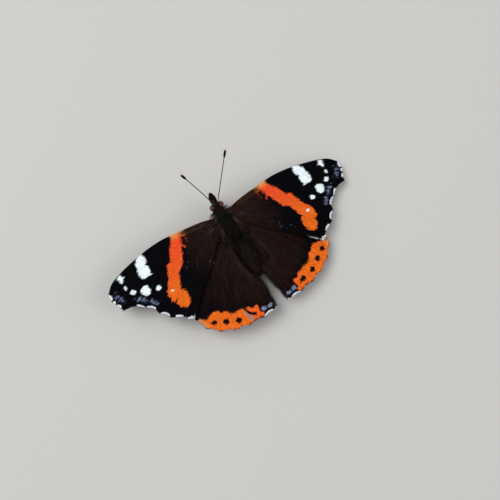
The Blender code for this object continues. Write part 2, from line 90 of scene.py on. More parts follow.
# Vein courses on a flat wing, outward and forward from its hinge
VEINS = {
    "forewing": {
        "subcosta": ((-0.6, 1.0), (1.2, 1.2), (8.0, 2.45), (16.4, 3.2)),
        "radius": ((-0.8, 0.3), (1.2, 0.5), (7.0, 1.4), (13.4, 0.9), (18.6, 0.05), (22.5, -0.35)),
        "radial_1": ((9.6, 1.35), (14.5, 2.2), (19.0, 2.78)),
        "radial_2": ((12.4, 1.05), (17.8, 1.7), (22.3, 2.15)),
        "radial_3": ((18.6, 0.05), (22.0, 0.85), (25.4, 1.3)),
        "radial_4": ((22.5, -0.35), (26.2, -0.4), (29.3, -1.3)),
        "radial_5": ((22.5, -0.35), (26.4, -1.4), (29.35, -3.2)),
        "medial_1": ((13.8, -0.8), (19.5, -2.1), (24.5, -2.9), (28.8, -4.15)),
        "medial_2": ((14.0, -1.9), (21.5, -3.5), (28.05, -6.25)),
        "medial_3": ((14.2, -3.0), (18.7, -4.7), (21.5, -6.2), (23.4, -8.1)),
        "cell_end": ((13.4, 0.9), (13.8, -0.8), (14.0, -1.9), (14.2, -3.0)),
        "cubitus": ((-0.8, 0.0), (1.2, -0.3), (8.6, -2.6), (12.0, -3.4), (14.2, -3.0)),
        "cubital_1": ((12.0, -3.4), (16.2, -6.2), (21.35, -11.1)),
        "cubital_2": ((8.6, -2.6), (14.25, -8.1), (19.55, -13.2)),
        "anal": ((-0.6, -0.6), (1.2, -1.0), (8.5, -7.3), (16.7, -14.65)),
    },
    "hindwing": {
        "subcosta": ((-0.4, 0.6), (1.4, 0.5), (8.0, -1.7), (15.6, -7.8)),
        "radial": ((-0.4, 0.0), (1.4, -0.2), (6.5, -3.7), (16.4, -11.7)),
        "medial_1": ((6.5, -3.7), (11.0, -8.9), (15.3, -15.2)),
        "medial_2": ((6.2, -4.9), (9.8, -11.0), (12.9, -17.65)),
        "medial_3": ((5.6, -6.8), (7.9, -12.6), (9.75, -19.3)),
        "cell_end": ((6.5, -3.7), (6.2, -4.9), (5.6, -6.8)),
        "cubitus": ((-0.2, -0.4), (1.4, -1.0), (3.9, -5.4), (5.6, -6.8)),
        "cubital_1": ((5.6, -6.8), (6.5, -13.2), (6.65, -20.15)),
        "cubital_2": ((3.9, -5.4), (4.1, -12.8), (2.9, -20.5)),
        "anal_2": ((0.2, -1.0), (1.2, -2.0), (1.5, -10.0), (0.0, -20.35)),
    },
}
MARGIN_VEINS = {
    "forewing": ("radial_4", "radial_5", "medial_1", "medial_2", "medial_3", "cubital_1",
                 "cubital_2", "anal"),
    "hindwing": ("subcosta", "radial", "medial_1", "medial_2", "medial_3", "cubital_1",
                 "cubital_2", "anal_2"),
}
MARGIN_DEPTHS = {
    "forewing": (0.06, 0.08, 0.06, 0.13, 0.16, 0.16, 0.06),
    "hindwing": (0.03, 0.05, 0.04, 0.05, 0.05, 0.05, 0.07),
}
FOREWING_COSTA = ((-0.9, 1.6), (0.5, 1.85), (3.0, 2.42), (8.0, 3.0), (12.6, 3.4), (16.4, 3.2),
                  (19.0, 2.78), (22.3, 2.15), (25.4, 1.3), (27.6, 0.35), (29.3, -1.3))
FOREWING_REAR = ((16.7, -14.65), (15.85, -15.15), (15.2, -15.3), (14.3, -14.8), (7.0, -7.9),
                 (1.0, -2.2), (-0.9, -1.3))
HINDWING_COSTA = ((-0.6, 1.5), (0.8, 1.6), (4.5, 1.0), (9.5, -0.9), (13.2, -3.9), (15.6, -7.8))
# Behind the abdomen. From there on the edge follows the body.
HINDWING_REAR = ((0.0, -20.35), (-0.72, -19.8), (-0.95, -18.6), (-1.0, -17.3), (-1.3, -16.0),
                 (-1.5, -14.8))

# Markings, in the same flat frame: outward and forward from the hinge. A stroke is two places
# and half its width. An oval is its middle, half length, half width and turn in degrees.
RED_BAND = ((8.1, 2), (7.95, 2.6), (9.15, 3.2), (9.87, 3), (10.22, 2.4), (10.62, 2), (10.87, 1.6),
            (11.5, 0.95), (12.1, 0.05), (12.5, -0.65), (12.8, -1.35), (13.05, -2), (13.75, -2.15),
            (14.3, -2.35), (14.5, -3), (14.85, -3.8), (15.1, -4.5), (15.26, -5.15), (15.91, -5.9),
            (16.56, -6.75), (17.08, -7.5), (17.28, -8.3), (17.18, -9.2), (17.28, -9.85),
            (16.93, -10.32), (16.48, -10.42), (16.03, -10.12), (16.38, -10.92), (16.23, -11.72),
            (15.88, -12.27), (15.18, -12.72), (14.68, -12.87), (14.08, -12.57), (13.53, -12.02),
            (13.23, -11.22), (13.23, -10.22), (13.28, -9.4), (13.58, -8.9), (14.03, -8.45),
            (13.78, -7.9), (13.43, -7.3), (13.15, -6.5), (12.85, -5.7), (12.6, -5.05), (11.85, -4.55),
            (11.15, -4.2), (10.75, -3.55), (10.5, -2.9), (10.1, -2.25), (9.8, -1.75), (9.65, -0.95),
            (9.35, -0.4), (8.95, -0.25), (8.65, -0.3), (8.55, 0.35), (8.4, 1))
BAND_SPURS = (((8.8, -0.1), (8.4, -0.8), 0.12), ((8.0, 2.0), (7.25, 1.35), 0.13),
              ((7.25, 1.35), (7.15, 0.5), 0.1), ((7.15, 0.5), (7.4, -0.05), 0.08))
# How much farther out the rear part of the band lies on each side
BAND_SHIFT = {"left": 0.12, "right": -0.25}
WHITE_BAR = ((17.98, 2.7), (17.81, 2.2), (17.76, 1.5), (17.88, 0.9), (18.33, 0.4), (18.53, 0.15),
             (18.18, -0.25), (18.08, -0.75), (18.23, -1.4), (18.53, -1.95), (18.98, -2.3),
             (19.63, -2.38), (20.18, -2.38), (20.58, -2.2), (20.71, -1.7), (20.96, -1.1),
             (20.83, -0.55), (20.65, 0), (20.53, 0.6), (20.36, 1.25), (20.13, 1.85), (19.68, 2.3),
             (19.18, 2.68), (18.58, 2.8))
WHITE_HOOK = ((24.5, 1.2), (25.3, 1.08), (25.75, 0.45), (25.3, 0.25), (25.25, -0.1),
              (25.5, -0.28), (25.28, -0.55), (25.42, -1.0), (24.95, -0.68), (24.68, -0.2),
              (24.25, 0.2), (23.98, 0.42), (24.45, 0.68))
WHITE_PATCH = ((20.48, -3.95), (21.1, -3.65), (21.75, -3.9), (22.5, -4.5), (22.15, -5.15),
               (21.9, -5.75), (21.4, -6.07), (20.9, -6), (20.45, -5.55), (20.25, -5.15), (20.45, -4.55))
BAR_TAIL = ((18.8, -2.1), (18.3, -2.3), 0.14)
WHITE_SPOTS = ((24.97, -2.08, 0.5, 0.33, 60), (23.93, -3.7, 0.6, 0.55, 30),
               (18.4, -5.82, 0.63, 0.56, -10))
BAND_SPOT = (15.85, -7.9, 0.32, 0.3, 0)
BLUE_PATCHES = ((27.75, -2.5, 1.0, 0.75, 100), (27.1, -3.75, 1.15, 0.8, 50),
                (23.15, -6.15, 1.6, 0.75, 42), (20.95, -8.1, 1.4, 0.65, 52))
REAR_BAND = ((15.2, -12.5), (14.75, -13.1), (14.1, -13.45), (13.55, -13.3), (13.1, -12.95),
             (12.4, -13.05), (11.75, -12.9), (11.2, -13.15), (10.75, -13.55), (10.35, -14.0),
             (9.7, -14.15), (9.35, -14.5), (9.1, -14.8), (8.7, -15.2), (8.1, -15.62),
             (7.45, -15.75), (6.5, -15.93), (5.6, -16.1), (4.85, -16.38), (4.3, -16.75),
             (3.9, -17.15), (3.2, -17.15), (2.55, -17.2), (2.8, -17.8), (2.9, -18.4),
             (2.9, -19.0), (2.6, -19.35), (2.0, -19.55), (1.6, -19.95), (1.5, -21.0),
             (2.0, -21.8), (3.0, -21.8), (9.0, -21.0), (13.5, -19.0), (17.0, -15.5),
             (17.0, -12.5))
REAR_DOTS = ((12.95, -14.97, 0.66, 0.56, 0), (10.6, -16.28, 0.74, 0.67, 60),
             (8.05, -17.65, 0.72, 0.62, 0))
DOT_STROKES = (((13.1, -14.8), (13.7, -14.6), 0.12), ((8.2, -18.9), (8.2, -19.5), 0.09))
LAST_DOT = {
    "left": (((5.6, -16.1), (5.3, -17.3), 0.2), ((5.3, -17.3), (4.85, -18.1), 0.34),
             ((4.95, -18.0), (4.1, -18.6), 0.36)),
    "right": (((4.65, -18.15), (5.15, -18.1), 0.56), ((4.5, -18.4), (3.8, -18.65), 0.22)),
}
TORNUS_MARK = ((-0.6, -18.0), (0.45, -17.8), (1.5, -17.75), (2.3, -17.6), (2.75, -18.05),
               (2.78, -18.75), (2.4, -19.2), (1.25, -19.33), (0.2, -19.5), (-0.5, -19.5),
               (-0.75, -18.9))
TORNUS_BLUE = ((1.8, -18.68, 1.0, 0.52, 8), (0.3, -18.92, 1.0, 0.44, -5))
# A pale crease at the margin of the left hindwing
CREASE = ((5.55, -16.5), (5.95, -17.1), (5.9, -18.2), (5.85, -19.2), (5.2, -19.9),
          (5.05, -19.0), (5.15, -18.3), (5.5, -17.5))
# How brown the ground of each hindwing is, and the folds beside the abdomen
REAR_BROWN = {"left": 0.8, "right": 1.0}
# Each fold is raised, with a painted sheen along its line and painted shade in the furrow between it and
# the body
FOLDS = {"left": ((0.1, -2.4), (0.35, -3.6), (0.65, -6.4), (0.55, -9.4), (0.0, -11.6)),
         "right": ((0.8, -2.4), (1.1, -4.0), (1.4, -6.4), (1.7, -8.4), (1.5, -10.6))}
FOLD_HALF_WIDTH = {"left": 0.5, "right": 0.25}
# Stray pale hairs and fine scratches: where each starts and ends, and how pale it is
STRAY = {
    "forewing_left": (((9.7, -4.0), (10.3, -4.5), 0.35), ((10.4, -4.9), (11.3, -5.35), 0.35),
                      ((8.0, -5.1), (8.5, -6.1), 0.35), ((8.5, -6.4), (8.8, -6.9), 0.3),
                      ((4.9, -7.0), (4.95, -7.7), 0.4), ((5.3, -6.4), (5.9, -6.8), 0.35),
                      ((6.4, -4.5), (6.7, -4.0), 0.3), ((19.05, -7.35), (19.35, -7.5), 0.7),
                      ((8.4, -1.2), (6.3, -0.4), 0.14), ((9.3, -2.2), (8.8, -2.8), 0.2),
                      ((7.4, -2.9), (6.7, -3.2), 0.3), ((10.6, -3.6), (8.2, -5.6), 0.12),
                      ((0.9, -1.1), (1.1, -0.2), 0.3), ((0.7, -0.3), (2.3, -1.2), 0.35),
                      ((0.5, 1.0), (2.1, 0.8), 0.25), ((2.0, -0.6), (3.0, -1.4), 0.3),
                      ((0.4, 0.5), (1.8, -0.1), 0.25), ((1.2, 0.2), (2.6, -0.6), 0.2)),
    "forewing_right": (((8.3, -7.1), (8.15, -7.8), 0.5), ((7.7, -8.3), (8.4, -8.15), 0.4),
                       ((8.4, -8.0), (8.65, -8.6), 0.35), ((9.2, -9.1), (9.6, -9.5), 0.45),
                       ((10.0, -8.8), (10.8, -9.4), 0.35), ((10.5, -9.9), (11.5, -10.05), 0.35),
                       ((7.0, -5.9), (7.15, -6.3), 0.4), ((8.9, -3.2), (9.6, -3.9), 0.25),
                       ((8.2, -6.9), (8.9, -7.0), 0.3), ((9.3, -7.6), (9.2, -8.6), 0.3),
                       ((7.5, -7.5), (8.0, -8.7), 0.25), ((11.0, -9.2), (11.9, -9.5), 0.3),
                       ((0.0, 1.4), (0.1, 0.8), 0.4), ((-0.3, 0.5), (-0.2, -1.0), 0.35),
                       ((0.8, -0.6), (2.1, -1.4), 0.35), ((0.7, 0.3), (1.7, -0.9), 0.35),
                       ((0.3, 0.9), (1.6, 0.3), 0.3), ((1.0, 1.2), (2.2, 0.9), 0.2),
                       ((1.6, -0.3), (2.8, -1.3), 0.25), ((0.3, -0.2), (1.2, -1.3), 0.35),
                       ((24.5, -3.3), (25.1, -2.9), 0.5), ((25.4, -4.3), (27.0, -3.4), 0.3)),
    "hindwing_left": (((9.1, -9.2), (9.4, -9.7), 0.4), ((4.8, -7.6), (4.9, -8.0), 0.4),
                      ((13.3, -12.0), (13.6, -12.6), 0.35), ((0.3, -0.3), (2.1, 0.0), 0.8)),
    "hindwing_right": (((5.1, -10.4), (5.5, -10.45), 0.5), ((7.0, -9.2), (7.5, -9.0), 0.3),
                       ((7.9, -7.4), (8.0, -7.8), 0.4), ((5.9, -11.9), (6.1, -12.3), 0.35),
                       ((0.1, 0.1), (1.8, -0.2), 0.8)),
}

# Legs, for the right side: joints and radii from hip to toe
LEGS = {
    "leg_fore": (((0.8, 1.7, -1.9), (0.9, 2.0, -3.1), (0.95, 3.4, -3.2), (0.85, 4.8, -2.7)),
                 (0.32, 0.27, 0.24, 0.12)),
    "leg_mid": (((1.0, -0.4, -1.9), (1.3, -0.3, -3.3), (5.6, 1.6, -1.7), (7.6, 2.8, -4.6),
                 (8.2, 3.1, -5.06), (9.9, 3.9, -5.07)), (0.42, 0.33, 0.24, 0.19, 0.15, 0.12)),
    "leg_hind": (((0.95, -2.1, -1.7), (1.3, -2.4, -3.1), (4.6, -4.6, -2.2), (6.2, -8.2, -4.6),
                  (6.5, -8.9, -5.06), (7.4, -10.7, -5.07)), (0.42, 0.33, 0.24, 0.19, 0.15, 0.12)),
}

# Coats, colours and fine detail
# Side of one tuft on the baking map
PATCH = 0.003
# Steps between the rows of scales and along one row
SCALE_ROW = 0.27
SCALE_ACROSS = 0.2
ANTENNA_JOINTS = 38
WING_HAIRS = {"forewing": 1500, "hindwing": 2600}
HAIR_WARMTH = {"forewing": 0.75, "hindwing": 0.85}
HAIR_LENGTH = 1.9
# For each kind of coat its tuft and slot, the length, width and thickness of a tuft, and how
# much its length and lean vary
COATS = {
    "scales": ("scale", "wing_scales", 0.46, 0.25, 0.02, 0.15, 0.05),
    "fringe": ("fringe", "wing_scales", 1.2, 0.12, 0.03, 0.1, 0.1),
    "wing hair": ("hair", "body_fur", HAIR_LENGTH, 0.036, 0.036, 0.2, 0.06),
    "body hair": ("hair", "body_fur", 1.0, 0.075, 0.06, 0.15, 0.16),
    "shoulder hair": ("hair", "body_fur", 1.0, 0.05, 0.045, 0.15, 0.16),
    "palp hair": ("hair", "body_fur", 0.8, 0.07, 0.05, 0.15, 0.12),
    "leg hair": ("hair", "cuticle", 0.55, 0.05, 0.04, 0.2, 0.1),
}
# For each coat of the body how many hairs are tried, and where they begin and end along it
BODY_COATS = (("thorax_coat", 9500, -4.3, 4.4), ("abdomen_coat", 6500, ABDOMEN_TIP + 0.2, -3.9),
              ("head_coat", 2600, 4.1, THORAX_END + HEAD_MIDDLE + 0.98))
SHOULDER_HAIRS = 2300
PALP_HAIRS = 1300
LEG_HAIRS = {"leg_fore": 500, "leg_mid": 700, "leg_hind": 700}
FRINGE_LAYERS = 4
BODY_RINGS = 190
BODY_SIDES = 72
EYE_RINGS = 28
EYE_SIDES = 48
# A facet is 0.025 mm across in life, too fine to show
FACET = 0.055
EYE_BAR = 0.9
# For each stretch between vein ends, where its white begins and ends and how white it is
FRINGE_WHITE = {
    "forewing": ((0.0, 0.78, 1), (0.1, 0.75, 1), (0.12, 0.6, 1), (0.6, 1.0, 1), (0.05, 0.65, 1),
                 (0.05, 0.85, 1), (0.3, 0.9, 1)),
    "hindwing": ((0.2, 0.9, 0.4), (0.2, 0.9, 0.3), (0.2, 0.85, 0.3), (0.2, 0.85, 0.3),
                 (0.2, 0.85, 0.4), (0.2, 0.8, 0.2), (0.02, 0.95, 0.9)),
}
WING_COLOURS = {
    True: {"black": "060509", "brown": "4A2A1C", "costal": "7E5438", "red": "F05229",
           "orange": "E96C1F", "tan": "E29E58", "white": "F0FAFF", "blue": "A4B4D8",
           "vein": "B8501C", "wear": "8E8884", "dot": "150506"},
    False: {"black": "1A1512", "brown": "6E5440", "costal": "8C6C50", "red": "E2584A",
            "orange": "D8683C", "tan": "C8A87C", "white": "EFEAE0", "blue": "5E7FB0",
            "vein": "7A4030", "wear": "AAA2A4", "dot": "1A1512"},
}
# Stage and camera
FLOOR_HALF = 3.0
FLOOR_COLOUR = "BDBBB7"
ROOM_COLOUR = "F2F5FA"
ROOM_STRENGTH = 0.54
LAMPS = (("key", (-0.25, 0.3, 0.7), 0.5, 4.6), ("fill", (0.5, -0.3, 0.5), 0.6, 1.55))
CAMERA_TURNS = (33.836, -7.17, 6.963)
CAMERA_DISTANCE = 162.28
MM_PER_PIXEL = 0.234
VIEW_CENTRE = (228.4, 225.7)
IMAGE = 500


def linear_colour(code):
    """A shader colour from an sRGB hex code."""
    channels = [int(code[index : index + 2], 16) / 255 for index in (0, 2, 4)]
    return (*(c / 12.92 if c <= 0.04045 else ((c + 0.055) / 1.055) ** 2.4 for c in channels), 1.0)


def add(tree, kind, inputs=None, **settings):
    """One node with its settings, and values or links for its inputs."""
    made = tree.nodes.new(kind)
    for name, value in settings.items():
        setattr(made, name, value)
    for key, value in (inputs or {}).items():
        if isinstance(value, bpy.types.NodeSocket):
            tree.links.new(value, made.inputs[key])
        else:
            made.inputs[key].default_value = value
    return made


def calc(tree, operation, *values):
    """What a sum on numbers gives."""
    return add(tree, "ShaderNodeMath", dict(enumerate(values)), operation=operation).outputs[0]


def calc_vector(tree, operation, *values):
    """What a sum on vectors gives."""
    return add(tree, "ShaderNodeVectorMath", dict(enumerate(values)), operation=operation).outputs[0]


def smooth_curve(points, step):
    """Points about one step apart on a smooth curve through the given ones."""
    given = np.array(points, float)
    ends = np.vstack((2 * given[0] - given[1], given, 2 * given[-1] - given[-2]))
    found = [given[0]]
    for before, start, end, after in zip(ends, ends[1:], ends[2:], ends[3:]):
        count = max(1, round(float(np.linalg.norm(end - start)) / step))
        for index in range(1, count + 1):
            t = index / count
            found.append(0.5 * (2 * start + (end - before) * t
                                + (2 * before - 5 * start + 4 * end - after) * t ** 2
                                + (3 * start - before - 3 * end + after) * t ** 3))
    return np.array(found)


def step_up(low, high, value):
    """0 below low and 1 above high, smooth between them."""
    t = np.clip((value - low) / (high - low), 0, 1)
    return t * t * (3 - 2 * t)


def unit(vectors):
    return vectors / np.maximum(np.linalg.norm(vectors, axis=-1, keepdims=True), 1e-9)


def line_distance(places, line):
    """How far each flat place is from a line of points."""
    starts, ends = line[:-1], line[1:]
    along = ends - starts
    offset = places[:, None] - starts[None]
    t = np.clip((offset * along).sum(2) / np.maximum((along ** 2).sum(1), 1e-12), 0, 1)
    return np.linalg.norm(offset - t[..., None] * along, axis=2).min(1)


def area_depth(places, outline):
    """How deep each flat place lies inside a closed outline, and under zero outside it."""
    loop = np.vstack((outline, outline[:1]))
    starts, ends = loop[:-1], loop[1:]
    x, y = places[:, :1], places[:, 1:]
    straddles = (starts[:, 1] > y) != (ends[:, 1] > y)
    rise = np.where(ends[:, 1] == starts[:, 1], 1e-12, ends[:, 1] - starts[:, 1])
    crossing = starts[:, 0] + (y - starts[:, 1]) * (ends[:, 0] - starts[:, 0]) / rise
    inside = (straddles & (crossing > x)).sum(1) % 2 == 1
    return np.where(inside, 1, -1) * line_distance(places, loop)


def shape_depth(places, shape):
    return area_depth(places, smooth_curve((*shape, shape[0]), 0.25)[:-1])


def stroke_depth(places, strokes):
    """The same for strokes of a brush."""
    found = np.full(len(places), -9.0)
    for start, end, half in strokes:
        found = np.maximum(found, half - line_distance(places, np.array((start, end))))
    return found


def spot_depth(places, spot):
    """The same for an oval: middle, half length, half width and turn in degrees."""
    x, y, length, width, turn = spot
    turn = math.radians(turn)
    offset = places - (x, y)
    along = offset[:, 0] * math.cos(turn) + offset[:, 1] * math.sin(turn)
    across = offset[:, 1] * math.cos(turn) - offset[:, 0] * math.sin(turn)
    return (1 - np.hypot(along / length, across / width)) * min(length, width)


def deepest(places, shapes, spots, strokes):
    """The same for several markings at once."""
    depths = [shape_depth(places, shape) for shape in shapes]
    depths += [spot_depth(places, spot) for spot in spots]
    return np.max([stroke_depth(places, strokes), *depths], axis=0)


def to_row(points):
    """From the insect's frame in millimetres to the shared frame in metres."""
    return (points + THORAX_PLACE) * MM


def wing_place(kind, side, flat, height):
    """Places of points on a wing, from their places on the flat wing and heights off its middle."""
    sweep, raise_tip, raise_front = np.radians(WINGS[kind][side])
    reach = np.clip(flat[:, 0] / WING_SPAN, 0, 1)
    x = flat[:, 0] * math.cos(sweep) - flat[:, 1] * math.sin(sweep)
    y = flat[:, 0] * math.sin(sweep) + flat[:, 1] * math.cos(sweep)
    z = 4 * WING_ARCH * reach * (1 - reach) + height
    x, z = (x * math.cos(raise_tip) - z * math.sin(raise_tip),
            x * math.sin(raise_tip) + z * math.cos(raise_tip))
    y, z = (y * math.cos(raise_front) - z * math.sin(raise_front),
            y * math.sin(raise_front) + z * math.cos(raise_front))
    found = np.column_stack((x, y, z)) + WINGS[kind]["hinge"]
    if side == "left":
        found[:, 0] *= -1
    return found


def margin(kind):
    """The outer margin: places, outward directions, how hollow it is and which stretch it is."""
    tips = [np.array(VEINS[kind][vein][-1]) for vein in MARGIN_VEINS[kind]]
    places, outward, hollow, run = [], [], [], []
    for number, (start, end, depth) in enumerate(zip(tips, tips[1:], MARGIN_DEPTHS[kind])):
        chord = end - start
        length = float(np.linalg.norm(chord))
        inward = np.array((chord[1], -chord[0])) / length
        count = max(4, round(length / 0.09))
        for index in range(count + (end is tips[-1])):
            t = index / count
            bow = math.sin(math.pi * t)
            places.append(start + chord * t + inward * depth * length * bow)
            slope = chord + inward * depth * length * math.pi * math.cos(math.pi * t)
            outward.append(np.array((-slope[1], slope[0])) / np.linalg.norm(slope))
            hollow.append(bow)
            run.append(number + min(t, 0.999))
    return np.array(places), np.array(outward), np.array(hollow), np.array(run)


def rear_edge(kind, side):
    """The rear margin. A hindwing's runs forward beside the body, tucked into its hair."""
    if kind == "forewing":
        return FOREWING_REAR
    sweep = math.radians(WINGS[kind][side][0])
    y = np.arange(-13.7, -1.9, 0.6)
    across = np.maximum(body_section(y)[1] + 0.06, 0.7) - WINGS[kind]["hinge"][0]
    along = y - WINGS[kind]["hinge"][1]
    return np.vstack((HINDWING_REAR, np.column_stack(
        (across * math.cos(sweep) + along * math.sin(sweep),
         along * math.cos(sweep) - across * math.sin(sweep)))))


def fringe_depth(kind, hollow, run):
    """How far the fringe stands out. A hindwing's is longest at its rear corner."""
    share = 1.0 if kind == "forewing" else 0.5 + 0.7 * step_up(5.6, 6.1, run)
    return FRINGE[kind] * share * (0.3 + 0.7 * hollow)


def wing_outline(kind, side):
    """The membrane's edge, inside the fringe."""
    places, outward, hollow, run = margin(kind)
    edge = places - outward * fringe_depth(kind, hollow, run)[:, None]
    front = smooth_curve(FOREWING_COSTA if kind == "forewing" else HINDWING_COSTA, 0.2)
    back = smooth_curve(rear_edge(kind, side), 0.2)
    joined = np.vstack((front[:-2], edge[1:-1:2], back[2:]))
    root = np.linspace(joined[-1], joined[0], 12)[1:-1]
    return np.vstack((joined, root))


def vein_distance(kind, places):
    found = np.full(len(places), np.inf)
    for course in VEINS[kind].values():
        found = np.minimum(found, line_distance(places, smooth_curve(course, 0.5)))
    return found


def wing_fields(kind, side, places):
    """What the scales' colours are worked out from, for flat places on a wing."""
    x, y = places[:, 0], places[:, 1]
    reach = np.hypot(x, y)
    ray = places - RAY_CENTRES[kind]
    fields = {
        "vein": vein_distance(kind, places),
        "edge": line_distance(places, margin(kind)[0][::4]),
        "ray": np.column_stack((np.hypot(*ray.T), np.arctan2(ray[:, 1], ray[:, 0]) * 18, 0 * x)),
        "wear": np.full(len(places), -1.0),
        "fold": 0 * x,
        "furrow": 0 * x,
    }
    if kind == "forewing":
        moved = places - np.column_stack((BAND_SHIFT[side] * step_up(-2.0, -8.0, y), 0 * y))
        band = np.maximum(shape_depth(moved, RED_BAND), stroke_depth(places, BAND_SPURS))
        white = deepest(places, (WHITE_BAR, WHITE_HOOK, WHITE_PATCH), WHITE_SPOTS, (BAR_TAIL,))
        white = np.maximum(white, spot_depth(moved, BAND_SPOT))
        dark = np.full(len(places), -1.0)
        blue = np.max([dark, *(spot_depth(places, spot) / min(spot[2:4]) for spot in BLUE_PATCHES)],
                      axis=0)
        costa = np.interp(x, [p[0] for p in FOREWING_COSTA], [p[1] for p in FOREWING_COSTA])
        inward = costa - y
        fields["tan"] = ((1 - step_up(0.8, 1.4, inward)) * (1 - 0.4 * step_up(0.15, 0.6, inward))
                         * step_up(6.4, 7.9, x) * (1 - step_up(10.2, 10.7, x)))
        streak = sum(np.exp(-((inward - line) / 0.1) ** 2) for line in (0.08, 0.45, 0.8, 1.2))
        fields["costal"] = streak * step_up(0.5, 3.5, x) * (1 - step_up(7.4, 8.6, x))
        fields["amber"] = step_up(1.5, -11.0, y)
        near = 0.62 * np.clip(1.2 - reach / 7.2, 0, 1) * step_up(-9.0, -2.0, y)
        wide = (0.04 + 0.08 * step_up(-1.5, -5.0, y)) * step_up(13.0, 8.0, reach)
        fields["brown"] = np.maximum(near * (0.45 + 0.55 * step_up(1.5, 5.0, reach)), wide)
    else:
        band = shape_depth(places, REAR_BAND)
        dark = deepest(places, (TORNUS_MARK,), REAR_DOTS, (*DOT_STROKES, *LAST_DOT[side]))
        dark = np.maximum(dark, 0.22 + 0.34 * step_up(9.0, 4.0, x) + 0.3 * step_up(3.0, 2.0, x)
                          - fields["edge"])
        white = np.full(len(places), -1.0)
        blue = np.max([white, *(spot_depth(places, spot) * 4.5 for spot in TORNUS_BLUE)], axis=0)
        if side == "left":
            fields["wear"] = shape_depth(places, CREASE)
        fields["tan"] = 0.6 * step_up(14.2, 15.0, x) * step_up(-0.05, 0.1, band)
        fields["costal"] = 0 * x
        fields["amber"] = 1 - (0.4 * step_up(5.4, 4.4, x) if side == "left"
                               else 0.5 * step_up(4.5, 2.0, x))
        line = np.array(FOLDS[side])[::-1]
        beyond = x - np.interp(y, line[:, 1], line[:, 0])
        reach_in = step_up(line[0, 1] - 1.0, line[0, 1] + 1.5, y) * step_up(-2.0, -4.5, y)
        # The fold's profile raises the wing, and adds brown along the fold as a painted sheen
        fields["fold"] = np.exp(-(beyond / FOLD_HALF_WIDTH[side]) ** 2) * reach_in
        # Painted shade: the ground is darker in the furrow between the fold and the body
        furrow = fields["furrow"] = step_up(0.5, 1.2, -beyond / FOLD_HALF_WIDTH[side]) * reach_in
        inner = np.exp(-(np.maximum(x, 0) / 3.5) ** 2) * step_up(-3.0, -15.0, y)
        beside = 1 - 0.7 * step_up(0.9, -0.4, x) * step_up(-10.5, -12.0, y)
        # The ground's brown, with painted sheen along the fold and painted shade in its furrow
        fields["brown"] = ((0.15 + 0.14 * inner + 0.08 * fields["fold"]) * (1 - 0.85 * furrow)
                           * REAR_BROWN[side] * beside
                           * (1 - 0.55 * step_up(7.0, 12.0, x)) * (0.2 + 0.8 * step_up(0, 2.8, -band)))
    fields.update(band=band, white=white, blue=blue, dark=dark)
    return fields


def new_object(name, data):
    made = bpy.data.objects.new(name, data)
    bpy.context.scene.collection.objects.link(made)
    return made


def new_mesh(name, points, faces):
    """A mesh in the shared frame, from places in the insect's frame."""
    mesh = bpy.data.meshes.new(name)
    mesh.from_pydata(to_row(points).tolist(), [], faces)
    return mesh


def ring_faces(rings, sides, turned=False):
    """Faces between neighbouring rings of points, which wind the other way when turned."""
    faces = []
    for ring in range(rings - 1):
        for side in range(sides):
            a, b = ring * sides + side, ring * sides + (side + 1) % sides
            faces.append((a, a + sides, b + sides, b) if turned else (a, b, b + sides, a + sides))
    return faces


def capped_faces(rings, sides, turned=False):
    """The same, closed at each end by a fan round one more point."""
    faces = ring_faces(rings, sides, turned)
    first = rings * sides
    for side in range(sides):
        a, b = (side + 1) % sides, side
        if turned:
            a, b = b, a
        faces += [(first, a, b), (first + 1, first - sides + b, first - sides + a)]
    return faces


def set_fields(mesh, fields):
    """Stores arrays as the mesh's named point attributes."""
    for name, values in fields.items():
        flat = np.ndim(values) == 1
        attribute = mesh.attributes.new(name, "FLOAT" if flat else "FLOAT_VECTOR", "POINT")
        attribute.data.foreach_set("value" if flat else "vector", np.ravel(values).astype(np.float32))


def set_map(mesh, corners):
    """The baking map, from one flat place for each face corner."""
    layer = mesh.uv_layers.new(name="OFBake")
    layer.uv.foreach_set("vector", np.ravel(corners).astype(np.float32))


def dress(made, material, replaced=()):
    """Puts a finished piece on the body, with its finish and the solids that it stands for."""
    made.data.materials.clear()
    for one in material if isinstance(material, tuple) else (material,):
        made.data.materials.append(one)
    made.data.shade_smooth()
    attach(made, "root")
    if replaced:
        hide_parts(*replaced)


def flat_map(kind, places, lower):
    """A place on the wing's baking map: upper face in the left half, lower face in the right."""
    low = np.array((-3.0, -17.0 if kind == "forewing" else -22.0))
    size = 34.0 if kind == "forewing" else 25.0
    return (places - low) / size * (0.48, 0.96) + (0.51 if lower else 0.01, 0.02)


def map_root(kind, flat, lower=False):
    """Where tufts stand on the baking map."""
    return np.column_stack((flat_map(kind, flat, lower), np.zeros(len(flat))))


